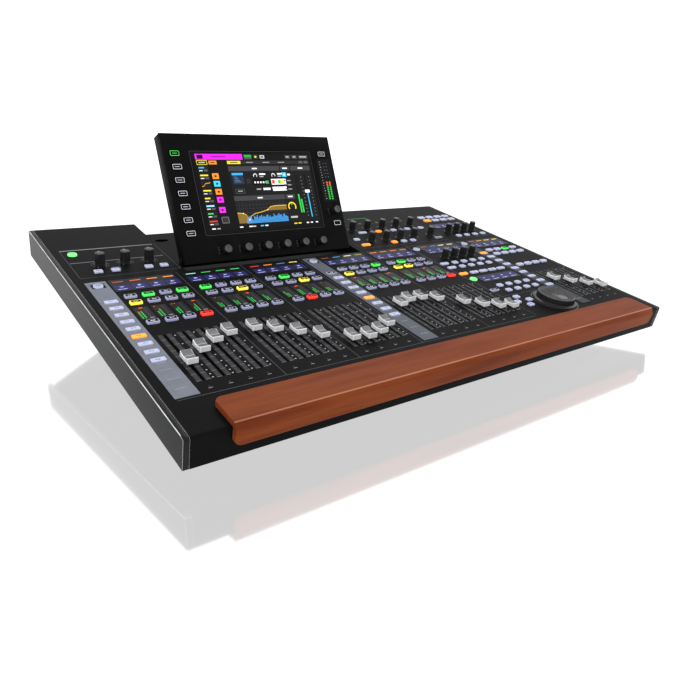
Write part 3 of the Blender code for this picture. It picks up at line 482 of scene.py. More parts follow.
def soften(name, width, segments=2, edge=None):
    """Rounds the edges of a CAD node. edge is the material of the rounded strips; the cheeks'
    light grey one paints a highlight on them.
    """
    made = NODES[name]
    weld = made.modifiers.new("weld", "WELD")
    weld.merge_threshold = 1e-5
    bevel = made.modifiers.new("bevel", "BEVEL")
    bevel.width = width
    bevel.segments = segments
    bevel.limit_method = "ANGLE"
    bevel.angle_limit = math.radians(40)
    bevel.harden_normals = True
    bevel.use_clamp_overlap = True
    if edge:
        made.data.materials.append(edge)
        bevel.material = 1
    for polygon in made.data.polygons:
        polygon.use_smooth = True


def finish_cad_nodes():
    """Gives the CAD nodes that stay visible their materials, and softens the largest."""
    finishes = (
        (POWDER, ("top_panel", "bottom_tub", "rear_panel", "display_well")),
        (POWDER, ("display_bezel", "display_back")),
        (CHEEK, ("left_cheek", "right_cheek")),
        (GLASS, ("display_glass",)),
        (BLACK_AND_SHADE, ("hinge_bracket",)),
        (ZINC, ("fader_frame", "power_supply")),
        (RUBBER, ("front_foot", "rear_foot")),
        (BOARD, ("main_board",)),
    )
    for material, names in finishes:
        for name in names:
            materials = NODES[name].data.materials
            materials.clear()
            materials.append(material)
    # The cheeks' rounded edges take the light grey edge material: a painted highlight.
    soften("left_cheek", 0.0009, edge=EDGE_HIGHLIGHT)
    soften("right_cheek", 0.0009, edge=EDGE_HIGHLIGHT)
    soften("display_bezel", 0.0006)
    soften("display_back", 0.0012)


def make_armrest():
    """Wooden rest over the front bend, with a flat chamfer along its nose, whose upper fillet has
    lighter wood as a painted highlight.
    """
    to_panel = PANEL.inverted()
    points = [to_panel @ vertex.co for vertex in NODES["armrest"].data.vertices]
    left, right = min(p.x for p in points), max(p.x for p in points)
    front, rear = min(p.y for p in points), max(p.y for p in points)
    bottom, top = min(p.z for p in points), max(p.z for p in points)
    corner = 9.0
    end_steps = 6
    thickness = 6.6
    chamfer_back, chamfer_down = 5.0, 8.5
    slope = Vector((chamfer_back, chamfer_down)).normalized()
    # Profile rows 4 and 5, the chamfer's upper fillet, take the lighter wood: a painted highlight.
    highlight_rows = (4, 5)

    def profile(cut):
        rows = [(rear - cut, 0.4), (rear - cut, top - 1.8), (rear - cut - 0.6, top - 0.5)]
        rows.append((rear - cut - 1.9, top))
        upper = Vector((front + chamfer_back, top))
        lower = Vector((front, top - chamfer_down))
        rows += [(upper.x + 0.9, upper.y), tuple(upper - slope * 0.3), tuple(upper - slope * 1.1)]
        rows += [tuple(lower + slope * 1.0), tuple(lower + slope * 0.3), (front, lower.y - 0.9)]
        for step in range(5):
            angle = math.radians(180 + 90 * step / 4)
            rows.append((front + 3 + 3 * math.cos(angle), bottom + cut + 3 + 3 * math.sin(angle)))
        rows += [(front + thickness, bottom + cut), (front + thickness, 0.4)]
        return rows

    stations = []
    for step in range(end_steps + 1):
        angle = math.radians(90 * step / end_steps)
        stations.append((left + corner * (1 - math.cos(angle)), corner * (1 - math.sin(angle))))
    mirrored = [(left + right - x, cut) for x, cut in reversed(stations)]
    piece = Piece("armrest_wood", "cherry_wood", replaced=["armrest"])
    rings = [[(x, v, n) for v, n in profile(cut)] for x, cut in stations + mirrored]
    loft(piece, rings, WOOD, low_cap=True)
    piece.materials.append(WOOD_HIGHLIGHT)
    count = len(rings[0])
    for index in range((len(rings) - 1) * count):
        if index % count in highlight_rows:
            piece.looks[index] = (1, WHITE, True)
    piece.finish()


def make_cheek_lines():
    """Painted highlight line along the outer edge of each cheek, and a grey line at its joint to
    the panel.
    """
    piece = Piece("cheek_lines", "cheek_coat")
    left, right = (PANEL.inverted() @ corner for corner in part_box("left_cheek"))
    wide = right.x - left.x
    far = 2 * (PANEL.inverted() @ Vector()).x - 2 * left.x
    for edge, step in ((left.x, 1), (left.x + far, -1)):
        for start, end, material in ((0.1, 0.95, EDGE_HIGHLIGHT), (wide, wide + 0.5, PRINT)):
            x0, x1 = sorted((edge + step * start, edge + step * end))
            patch(piece, (x0, x1, 7, 588.5), 0.05, material, DIM_INK)
    piece.finish()


def make_fader_scales():
    """Scale strips beside each slot, and the dots between channels."""
    piece = Piece("fader_scales", "powder_coat")
    for u in sum(BLOCKS, []):
        for side in (-1, 1):
            x0, x1 = sorted((u + side * 2.4, u + side * 8.4))
            patch(piece, (x0, x1, 86, 197), 0.04, PRINT, "303032")
            for step in range(56):
                v = 86.6 + step * 1.98
                long = step % 7 == 0
                reach = (x0, x1) if long else (x0 + 0.6, x1 - 0.6)
                patch(piece, (*reach, v, v + 0.8), 0.07, PRINT, "7c7c80" if long else "525254")
        for v in (88, 95, 104, 116, 131, 149, 168, 190):
            x = u + CHANNEL_PITCH / 2 - 1.4
            patch(piece, (x, x + 1.8, v, v + 1.5), 0.07, PRINT, "c8c8cc")
    piece.finish()


def make_panel_print():
    """Lines, tick marks and colour bars on the panel. Lettering is left out."""
    piece = Piece("panel_print", "powder_coat")

    def area(u0, u1, v0, v1, tone=DIM_INK):
        patch(piece, (u0, u1, v0, v1), 0.06, PRINT, tone)

    def outline(u0, u1, v0, v1, width=0.8, tone=DIM_INK, radius=2):
        frame_line(piece, (u0, u1, v0, v1), 0.06, width, PRINT, tone, radius)

    def colour_bar(u, reach, code):
        patch(piece, (u - reach, u + reach, 358, 360.4), 0.66, LIGHT, code)

    def ticks(u, v, sweep, step, box):
        for angle in range(-sweep, sweep + 1, step):
            spin = Matrix.Translation((u, v, 0)) @ Matrix.Rotation(math.radians(-angle), 4, "Z")
            patch(piece, box, 0.06, PRINT, INK, grid=PANEL @ spin)

    for u in (149.2, 254.7, 361.0, 495.0, 605.0):
        area(u - 0.4, u + 0.4, 61, 372)
    area(20, 600, 60.4, 61.2)
    outline(606, 733, 133, 372)
    outline(19, 163, 384, 492)
    area(20, 159, 488.6, 490.8, INK)
    area(21, 157, 438.8, 441.0, "77777e")
    outline(72, 82, 404, 414, 0.6, INK, 1.5)
    colours = (
        ("a1442c", "e2502c", "f08a34", "f09a3e"),
        ("8fd2c6", "3fb45e", "3fb45e", "47bc5a"),
        ("d8382f", "ef8a30", "3c78c8", "e9d74a"),
        ("8c3a2e", "3f97ad", "e6dfa0", "8b8f46"),
        ("e86a34", "e86a34", "e86a34", "e86a34"),
        ("a9562e", "ee8c33", "e9d04a", "e9d04a"),
    )
    for block, codes in zip(BLOCKS, colours):
        for u, code in zip(block, codes):
            colour_bar(u, 7.5, code)
            for row in KEY_ROWS:
                area(u - 5, u + 5, row + 6.6, row + 7.6)
                area(u - 3, u + 3, row - 6.9, row - 6.2)
            area(u - 2.4, u + 2.4, 70, 71, INK)
            area(u - 1.0, u + 1.0, 73.4, 74.4)
    for u, code in zip((639.5, 663.7, 685.7, 709.9), ("9c4232", "3a76c4", "e9dca0", "e9dca0")):
        colour_bar(u, 7, code)
    for u in CUSTOM_COLUMNS:
        for v in (284, 265, 176, 156, 236, 316):
            area(u - 4, u + 4, v, v + 0.9)
    for u in ASSIGN_COLUMNS:
        for v in (521, 501, 403, 387, 436):
            area(u - 5, u + 5, v, v + 1.0)
    for u, v in PROCESSING_PLACES:
        ticks(u, v, 140, 28, (-0.3, 0.3, 9.2, 10.8))
        area(u - 5, u + 5, v - 13.6, v - 12.6)
    for u, v in MONITOR_PLACES:
        ticks(u, v, 150, 30, (-0.35, 0.35, 10.2, 12.4))
    outline(511, 734, 384, 505)
    area(590, 640, 537, 539.4, "3f9c50")
    for u in range(530, 720, 22):
        area(u, u + 7, 508.4, 510.0, "c9a53c" if u % 44 else "b6433a")
    outline(765, 858, 384, 528)
    piece.finish()


def make_strips():
    """Three grey strips around the bank keys, open where the keys come through."""
    piece = Piece("bank_strips", "key_silicone")
    tones = ("7c808b", "62666f", "45494f")
    edges = ((19, 46.6), (366, 393), (734, 757.5))
    bottom, top, half = 64.0, 366.5, 9.0
    for column, (u0, u1), tone in zip(STRIP_COLUMNS, edges, tones):
        slab(piece, (u0, column - half, bottom, top), 0, 0.7, PRINT, tone, edge=0.2)
        slab(piece, (column + half, u1, bottom, top), 0, 0.7, PRINT, tone, edge=0.2)
        rows = [bottom]
        for row in STRIP_ROWS:
            rows += [row - 4.5, row + 4.5]
        rows += [345.0, 359.0, top]
        for start, end in zip(rows[::2], rows[1::2]):
            slab(piece, (column - half, column + half, start, end), 0, 0.7, PRINT, tone)
        for row in STRIP_ROWS:
            patch(piece, (column - 6, column + 6, row - 7.2, row - 6.2), 0.73, PRINT, INK)
        for start in (120, 100, 80):
            patch(piece, (column - 7, column + 7, start, start + 1), 0.73, PRINT, INK)
    piece.finish()


def icon(piece, x, y, z, kind, tone, size=1.0):
    """One of four small generic marks, in place of lettering."""
    marks = (
        ((-3.4, 3.4, -0.5, 0.5), (-2.0, 2.0, -2.2, -1.4)),
        ((-0.8, 0.8, -0.8, 0.8),),
        tuple(
            (shift - 0.45, shift + 0.45, -reach, reach)
            for shift, reach in ((-2.4, 1.6), (-0.8, 2.6), (0.8, 2.0), (2.4, 1.2))
        ),
        ((-3.0, -0.6, -1.8, 1.8), (0.4, 3.2, 0.6, 1.5), (0.4, 2.4, -1.4, -0.5)),
    )
    if kind % 4 == 1:
        frame_line(piece, around(x, y, 2.4 * size, 2.2 * size), z, 0.7 * size, LIGHT, tone)
    for x0, x1, y0, y1 in marks[kind % 4]:
        box = (x + x0 * size, x + x1 * size, y + y0 * size, y + y1 * size)
        patch(piece, box, z, LIGHT, tone)


def make_character_displays():
    """Black lenses with violet character displays, above each block and in the sections."""
    piece = Piece("character_displays", "screen_glass")

    def lens(box):
        slab(piece, box, 0, 0.6, LENS, radius=1.5, edge=0.3)

    spans = ((49, 142), (155, 248), (261, 355), (396, 489), (502, 592), (764, 857))
    for number, (u0, u1) in enumerate(spans):
        lens((u0, u1, 328, 367))
        for index, u in enumerate(BLOCKS[number]):
            patch(piece, (u - 10.2, u + 10.2, 332, 348), 0.63, LIGHT, LCD_BLUE, 0.8)
            icon(piece, u, 342.5, 0.66, number + index, LCD_MARK, 0.9)
            patch(piece, (u - 7, u + 5 - index, 334.2, 335.4), 0.66, LIGHT, LCD_MARK)
    count = 4
    for box in ((625, 727, 326, 367), (626, 726, 189, 214), (757, 849, 446, 470)):
        lens(box)
        u0, u1, v0, v1 = box
        top = v1 - 4 if v1 - v0 < 30 else v0 + 22
        width = (u1 - u0 - 4) / count
        for index in range(count):
            x = u0 + 2 + width * index
            patch(piece, (x + 0.8, x + width - 0.8, v0 + 4, top), 0.63, LIGHT, LCD_BLUE)
            icon(piece, x + width / 2, top - 6, 0.66, index + count, LCD_MARK, 0.85)
            patch(piece, (x + 4, x + width - 6, v0 + 5.4, v0 + 6.6), 0.66, LIGHT, LCD_MARK)
    piece.finish()


def make_meter_windows():
    """Level meters between the key rows: ladders of small lamps for each channel."""
    piece = Piece("channel_meters", "screen_glass")
    rng = random.Random(11)
    lamps = 10
    for number, block in enumerate(BLOCKS[:5]):
        for index, u in enumerate(block):
            patch(piece, (u - 9.6, u + 9.6, 242, 276), 0.05, LENS, WHITE, 1.0)
            for side in (0, 1):
                lit = rng.randint(4, 7)
                x = u - 7.2 + side * 3.6
                for step in range(lamps):
                    v = 244.4 + step * 3.1
                    if step < min(lit, 6):
                        tone = "2fd24e"
                    elif step < lit or (step == lamps - 1 and rng.random() < 0.3):
                        tone = "e8502c"
                    else:
                        tone = "141a15"
                    patch(piece, (x, x + 1.7, v, v + 1.5), 0.09, LIGHT, tone)
            for step in range(9):
                v = 246 + step * 3.2
                end = u + 2.2 + (2.2 if step % 2 else 4.0)
                patch(piece, (u + 2.2, end, v, v + 0.9), 0.09, PRINT, "5a5b5f")
            patch(piece, (u + 1.6, u + 7.6, 243.2, 245.0), 0.1, PRINT, "9b9b9b")
            if (number + index) % 3 == 0:
                patch(piece, (u - 2.4, u + 2.4, 273.0, 275.0), 0.1, LIGHT, "e8502c")
    piece.finish()


# Controls.


def key(piece, place, size, state="pale", seed=0):
    """One backlit key: a bright skirt with a rounded upper edge, and a cap with a small mark.
    Unframed caps get a darker ring round their top, which is painted shade.
    """
    u, v = place
    width, length, height = size
    tones = {
        "pale": (SILICONE, PALE, PALE),
        "dark": (SILICONE, LAVENDER, BLACK),
        "orange": (LIT_SILICONE, ORANGE, ORANGE),
        "green": (LIT_SILICONE, GREEN, "10381a"),
        "red": (LIT_SILICONE, RED, "a81d18"),
        "yellow": (LIT_SILICONE, YELLOW, "2c2a10"),
        "grey": (SILICONE, GREY_KEY, GREY_KEY),
    }
    material, rim, top = tones[state]
    box = around(u, v, width / 2, length / 2)
    slab(piece, box, SKIRT_LOW, height, material, rim, 1.2, 0.55)
    framed = state in ("dark", "green", "red", "yellow")
    inset = 1.3
    cap = (box[0] + inset, box[1] - inset, box[2] + inset, box[3] - inset)
    if framed:
        slab(piece, cap, height - 0.1, height + 0.12, PRINT, top, 0.8)
        mark = "ececf8" if state == "dark" else rim
    else:
        mark = "5a2c08" if state == "orange" else "1a1a22"
        # Darker ring round the cap's top: painted shade.
        frame_line(piece, cap, height + 0.02, 0.35, material, tuple(c * 0.72 for c in top))
    z = height + (0.15 if framed else 0.04)
    shift = (seed * 7 % 5 - 2) * 0.3
    ink = LIGHT if framed else PRINT
    patch(piece, (u - 3.0 + shift, u - 0.6 + shift, v - 0.5, v + 0.6), z, ink, mark)
    patch(piece, (u + 0.2 + shift, u + 2.8 + shift, v - 0.4, v + 0.4), z, ink, mark)
    if seed % 3 == 0:
        patch(piece, (u - 1.2, u + 1.6, v - 1.7, v - 1.2), z, ink, mark)


def key_row(piece, columns, v, size, special=None):
    """Keys side by side. special gives the state of those that are not pale, by index."""
    for index, u in enumerate(columns):
        key(piece, (u, v), size, (special or {}).get(index, "pale"), index)


def round_key(piece, place, lit=False):
    radius, height = 6.5, 2.5
    material, tone = (LIT_SILICONE, rgb("7dff8a")) if lit else (SILICONE, PALE)
    profile = [(radius, SKIRT_LOW), (radius, height - 0.7), (radius - 0.4, height - 0.2)]
    profile += [(radius - 1.0, height)]
    turned(piece, place, profile, 28, material, tone)
    # Darker ring on the key's top: painted shade.
    ring = [(radius - 1.8, height + 0.02), (radius - 2.3, height + 0.03)]
    turned(piece, place, ring, 28, material, tuple(c * 0.6 for c in tone))


def make_channel_keys():
    """Keys of the five left blocks, of two strips and under the monitor knobs."""
    piece = Piece("channel_key_mat", "key_silicone", "channel_keys", ["channel_keys"])
    lit = {
        (0, 0): {1: "green", 3: "green"},
        (0, 1): {0: "yellow"},
        (0, 2): {3: "red"},
        (1, 0): {0: "green"},
        (1, 1): {2: "yellow"},
        (2, 0): {1: "green"},
        (2, 1): {2: "yellow"},
        (2, 2): {1: "red"},
        (3, 0): {3: "green"},
        (3, 1): {0: "yellow"},
        (4, 0): {1: "green"},
        (4, 1): {0: "yellow", 1: "yellow"},
        (4, 2): {3: "red"},
    }
    for number, block in enumerate(BLOCKS[:5]):
        for row, v in enumerate(KEY_ROWS):
            for index, u in enumerate(block):
                state = lit.get((number, row), {}).get(index, "dark")
                key(piece, (u, v), BLOCK_KEY, state, number * 5 + row * 3 + index)
    for strip, column in enumerate(STRIP_COLUMNS[:2]):
        for index, v in enumerate(STRIP_ROWS):
            state = "orange" if index == 3 else "pale"
            if strip == 1 and index == len(STRIP_ROWS) - 1:
                state = "dark"
            key(piece, (column, v), STRIP_KEY, state, index + strip)
        round_key(piece, (column, 352.0))
    key_row(piece, (48.5, 72.5, 120.5, 143.5), 401.0, SMALL_KEY)
    round_key(piece, (33.0, 471.5), lit=True)
    piece.finish()


def make_control_keys():
    """Keys of the right block and strip, the custom and assign groups and the knobs' rows."""
    piece = Piece("control_key_mat", "key_silicone", "control_keys", ["control_keys"])
    first_orange = {0: "orange"}
    for row, v in enumerate(KEY_ROWS):
        for index, u in enumerate(BLOCKS[5]):
            state = "green" if (row, index) == (0, 2) else "pale"
            key(piece, (u, v), BLOCK_KEY, state, row + index)
    for index, v in enumerate(STRIP_ROWS):
        state = "orange" if index == len(STRIP_ROWS) - 1 else "pale"
        key(piece, (STRIP_COLUMNS[2], v), STRIP_KEY, state, index)
    round_key(piece, (STRIP_COLUMNS[2], 352.0))
    for v in (277.0, 258.0):
        key(piece, (614.5, v), WIDE_KEY, "pale", int(v))
        key_row(piece, CUSTOM_COLUMNS, v, SMALL_KEY)
    key_row(piece, (614.5, *CUSTOM_COLUMNS), 229.0, WIDE_KEY, first_orange)
    round_key(piece, (614.5, 352.0))
    round_key(piece, (614.5, 205.0), lit=True)
    key(piece, (614.5, 157.0), WIDE_KEY, "dark", 1)
    for v in (169.0, 149.0):
        key_row(piece, CUSTOM_COLUMNS, v, SMALL_KEY)
    for index, place in enumerate(((630, 123), (615, 108), (645, 108), (630, 93))):
        key(piece, place, SMALL_KEY, "pale", index)
    key_row(piece, ASSIGN_COLUMNS, 513.0, ASSIGN_KEY)
    key_row(piece, ASSIGN_COLUMNS, 493.0, ASSIGN_KEY, first_orange)
    key_row(piece, ASSIGN_COLUMNS, 396.0, SMALL_KEY)
    key(piece, (528, 397), WIDE_KEY, "orange", 1)
    key(piece, (528, 426), SMALL_KEY, "pale", 2)
    key_row(piece, (598, 622, 646), 397, SMALL_KEY, first_orange)
    key(piece, (716, 397), WIDE_KEY, "grey", 1)
    key(piece, (566, 457), WIDE_KEY, "pale", 2)
    key_row(piece, (607, 646, 684, 722), 457, SMALL_KEY, first_orange)
    piece.finish()


def tall_knob(piece, place, radius, height, shaft_low=-6.0):
    """Ribbed black knob with a pale pointer line, on its shaft."""
    u, v = place
    taper = 0.88
    reach = radius * taper
    body = [
        (radius + 0.2, 0.8),
        (radius + 0.2, 2.0),
        (radius - 0.1, 2.4),
        (radius * (1 + taper) / 2, height * 0.55),
        (reach, height - 1.2),
    ]
    turned(piece, place, body, 64, KNOB, "1b1b1c", flutes=(16, 0.75), smooth=False)
    crown = [(reach - 0.1, height - 1.2), (reach - 0.5, height - 0.35), (reach - 1.2, height)]
    turned(piece, place, crown, 32, KNOB, "2a2a2c")
    pointer = (u - 0.45, u + 0.45, v + reach - 4.2, v + reach - 0.9)
    slab(piece, pointer, height - 0.3, height + 0.06, PRINT, PALE)
    base = [(radius + 1.6, 0.0), (radius + 1.6, 0.35), (radius + 1.2, 0.5)]
    turned(piece, place, base, 32, KNOB, "0d0d0e")
    turned(piece, place, [(3.0, shaft_low), (3.0, 1.0)], 16, ZINC)


def make_panel_knobs():
    customs = [(u, 304.0) for u in CUSTOM_COLUMNS]
    for kind, places, radius, height in (
        ("monitor", MONITOR_PLACES, 7.5, 18.0),
        ("custom", customs, 6.8, 17.5),
    ):
        for number, place in enumerate(places, 1):
            name = f"{kind}_knob_{number}"
            piece = Piece(f"{name}_cap", "knob_rubber", name, [name])
            tall_knob(piece, place, radius, height)
            piece.finish()
    for name, places in (("processing", PROCESSING_PLACES), ("assign", ASSIGN_PLACES)):
        piece = Piece(f"{name}_knobs", "knob_rubber", replaced=[f"{name}_encoders"])
        for place in places:
            tall_knob(piece, place, 6.8, 17.5, shaft_low=-7.0)
        us, vs = zip(*places)
        board = (min(us) - 10, max(us) + 10, min(vs) - 10, max(vs) + 10)
        slab(piece, board, -9.5, -8, BOARD, low_cap=True)
        piece.finish()


def make_jog_wheel():
    """Glossy wheel: a flange with a bright rim, a steep wall and a top with a finger dimple. The
    rim, the top's lip and a ring round the dimple are lighter grey: painted highlights.
    """
    centre = PANEL.inverted() @ Vector(JOINTS["jog_wheel_turn"]["pos_m"])
    middle = (centre.x, centre.y)
    piece = Piece("jog_wheel_disc", "jog_plastic", "jog_wheel", ["jog_wheel"])
    # Lighter grey flange rim: a painted highlight.
    skirt = [(35.4, 0.9), (36.0, 1.3), (36.0, 2.5)]
    turned(piece, middle, skirt, 120, JOG, "5c5d60")
    edge = [(36.0, 2.5), (35.3, 3.0), (32.4, 3.0), (31.9, 3.6)]
    turned(piece, middle, edge, 96, JOG, "1c1d1e")
    wall = [(31.9, 3.6), (31.5, 4.4), (30.5, 12.8)]
    turned(piece, middle, wall, 120, JOG, "141415", flutes=(60, 0.25), smooth=False)
    # Lighter grey lip round the top: a painted highlight.
    highlight_lip = [(30.4, 12.8), (30.1, 13.5), (29.4, 13.9)]
    turned(piece, middle, highlight_lip, 96, JOG, "5a5b5e")
    turned(piece, middle, [(3.0, -7.0), (3.0, 1.5)], 16, ZINC)
    ring_count, sides = 20, 72
    dimple, reach, depth = Vector((-6.0, -15.5)), 8.0, 2.6
    rings = []
    for step in range(ring_count + 1):
        ring = []
        for spot in circle(0, 0, 29.4 * (1 - step / ring_count), sides):
            spot = Vector(spot)
            away = (spot - dimple).length / reach
            dip = depth * math.cos(min(away, 1) * math.pi / 2) ** 1.2 if away < 1 else 0.0
            ring.append((middle[0] + spot.x, middle[1] + spot.y, 13.9 - dip))
        rings.append(ring)
    loft(piece, rings, JOG, "28292b", smooth=True, cap=False)
    # Lighter grey ring round the dimple: a painted highlight.
    halo = [(reach + 0.2, 13.85), (reach + 0.5, 14.0), (reach - 0.1, 14.0)]
    spot = (middle[0] + dimple.x, middle[1] + dimple.y)
    turned(piece, spot, halo, 72, JOG, "58595c", cap=False)
    base = Piece("jog_wheel_base", "jog_plastic")
    outline = [(39.5, 0.0), (39.5, 0.7), (38.9, 1.0), (37.0, 1.0), (37.0, 0.0)]
    turned(base, middle, outline, 72, JOG, "0b0b0c", cap=False)
    base.finish()
    piece.finish()


def fader_mesh():
    """Silver cap with a dished grey top, pale walls and a centre line, on its stem. Its lips and
    rounded ends are white: a painted highlight.
    """
    piece = Piece("fader_cap_shape", "fader_cap", grid=WORLD)
    # The white lip tone is a painted highlight on the cap's lips and rounded ends.
    side, top, face, highlight_lip = "dcdde0", "66676a", "dedfe2", "ffffff"
    half, reach, ends = 6.7, 9.6, 10.5
    low, high, dip = 5.0, 12.0, 2.4

    def dish(v):
        return high - dip * math.sin(math.pi * (v + reach) / (2 * reach)) ** 0.8

    outline = [(-ends, low), (-10.4, high - 1.0), (-10.1, high - 0.2), (-reach, high)]
    outline += [(v, dish(v)) for v in [reach * (step / 6 - 1) for step in range(1, 12)]]
    outline += [(reach, high), (10.1, high - 0.2), (10.4, high - 1.0), (ends, low)]
    count = len(outline)
    edge = 0.6

    def section(x, shrink):
        """The outline at one station. Only its two feet keep their height."""
        points = [(x, v * (1 - shrink / 12), n - shrink) for v, n in outline]
        for foot in (0, -1):
            points[foot] = (x, points[foot][1], low)
        return points

    stations = [section(-half, edge), section(-half + edge, 0)]
    stations += [section(half - edge, 0), section(half, edge)]
    for strip, (near, far) in enumerate(zip(stations, stations[1:])):
        for index in range(count - 1):
            if strip != 1 or index in (2, count - 4):
                tone = highlight_lip
            elif 3 <= index < count - 4:
                tone = top
            else:
                tone = face if index < 2 else side
            quad = [near[index], near[index + 1], far[index + 1], far[index]]
            piece.add(quad, [(3, 2, 1, 0)], CAP, tone)
    for station, order in ((stations[0], 1), (stations[-1], -1)):
        piece.add(station, [tuple(range(count))[::-order]], CAP, side)
    low_face = [(-half, -ends, low), (half, -ends, low), (half, ends, low), (-half, ends, low)]
    piece.add(low_face, [(3, 2, 1, 0)], CAP, side)
    slab(piece, (-6.0, 6.0, -0.35, 0.35), dish(0) - 0.4, dish(0) + 0.14, CAP, "c4c5c8")
    for v in (-5.6, -3.8, -2.0, 2.0, 3.8, 5.6):
        line = (-5.9, 5.9, v - 0.18, v + 0.18)
        slab(piece, line, dish(v) - 0.5, dish(v) + 0.12, CAP, "5c5d60")
    slab(piece, (-0.6, 0.6, -4, 4), -15.5, low + 0.2, ZINC, low_cap=True)
    return piece.mesh()


def make_faders():
    mesh = fader_mesh()
    to_panel = PANEL.inverted()
    turn = PANEL.to_3x3().normalized().to_4x4()
    for name in sorted(NODES):
        if not name.startswith("fader_") or name == "fader_frame":
            continue
        spots = [to_panel @ vertex.co for vertex in NODES[name].data.vertices]
        middle = [(min(p[i] for p in spots) + max(p[i] for p in spots)) / 2 for i in (0, 1)]
        place = Matrix.Translation(PANEL @ Vector((*middle, 0))) @ turn
        Piece(f"{name}_cap", "fader_cap", name, [name]).finish(mesh, place)


# Screen.


def screen_knob(piece, place):
    """Ribbed cylinder with a lighter, slightly hollow end."""
    radius, height = 6.5, 13.0
    body = [(radius, 0.6), (radius, height - 1.2)]
    turned(piece, place, body, 72, KNOB, "1e1e20", flutes=(24, 0.4), smooth=False)
    crown = [
        (radius - 0.1, height - 1.2),
        (radius - 0.5, height - 0.3),
        (radius - 1.0, height),
        (radius - 1.5, height - 0.35),
        (0.4, height - 0.6),
    ]
    turned(piece, place, crown, 36, KNOB, "434346")


def make_screen_knobs():
    to_screen = SCREEN.inverted()
    for name in [f"screen_encoder_{number}" for number in range(1, 7)] + ["level_encoder"]:
        spot = to_screen @ Vector(JOINTS[f"{name}_turn"]["pos_m"])
        piece = Piece(f"{name}_cap", "knob_rubber", name, [name], SCREEN)
        screen_knob(piece, (spot.x, spot.y))
        piece.finish()
        marks = Piece(f"{name}_marks", "powder_coat", "display", grid=SCREEN)
        for step in range(5):
            box = (spot.x - 12.5, spot.x - 9.5, spot.y - 5 + step * 2.4, spot.y - 4.5 + step * 2.4)
            patch(marks, box, 0.05, PRINT, DIM_INK)
        marks.finish()


def make_screen_keys():
    """Outlined keys at both sides of the screen."""
    piece = Piece("screen_key_mat", "key_silicone", "display_keys", ["display_keys"], SCREEN)
    places = [(18.5, 47 + 20.7 * index) for index in range(7)] + [(291.0, 171.2), (296.0, 47.0)]
    for index, (x, y) in enumerate(places):
        box = around(x, y, 7.7, 4.5)
        slab(piece, box, -3.0, 1.5, PRINT, "0e0e10", 1.6, 0.3)
        tone = rgb("58e86a") if index == 6 else rgb("d4d6e0")
        inner = (box[0] + 0.6, box[1] - 0.6, box[2] + 0.6, box[3] - 0.6)
        frame_line(piece, inner, 1.56, 0.55, LIGHT, tone, 1.2)
        if index < 8:
            dim = tuple(part * 0.5 for part in tone)
            patch(piece, (x - 3.8, x + 3.6, y - 0.5, y + 0.6), 1.58, LIGHT, dim)
    piece.finish()


def make_screen_meter():
    """Two columns of level lamps beside the picture, with their scale."""
    piece = Piece("screen_meter", "screen_glass", "display", grid=SCREEN)
    columns = (290.0, 296.0)
    slab(piece, (278, 306, 86, 162), 0, 0.3, LENS, radius=1.5, edge=0.1)
    for column in columns:
        for step in range(10):
            y = 90 + step * 3.3
            tone = "ff5a36" if step >= 8 else "2fbf44"
            patch(piece, (column, column + 3.2, y, y + 2.0), 0.33, LIGHT, tone)
    for step in range(15):
        y = 91 + step * 4.7
        wide = 1.4 if step % 3 else 2.6
        patch(piece, (283, 283 + wide, y, y + 0.9), 0.33, LIGHT, "9a9aa4")
    for step in range(5):
        y = 130 + step * 6.0
        for column in columns:
            patch(piece, (column + 0.8, column + 2.0, y, y + 1.0), 0.33, PRINT, INK)
    piece.finish()


def picture_level():
    """Height of the glass's front face above the bezel's, in millimetres."""
    to_screen = SCREEN.inverted()
    return max((to_screen @ v.co).z for v in NODES["display_glass"].data.vertices) + 0.03


PICTURE_LEVEL = picture_level()


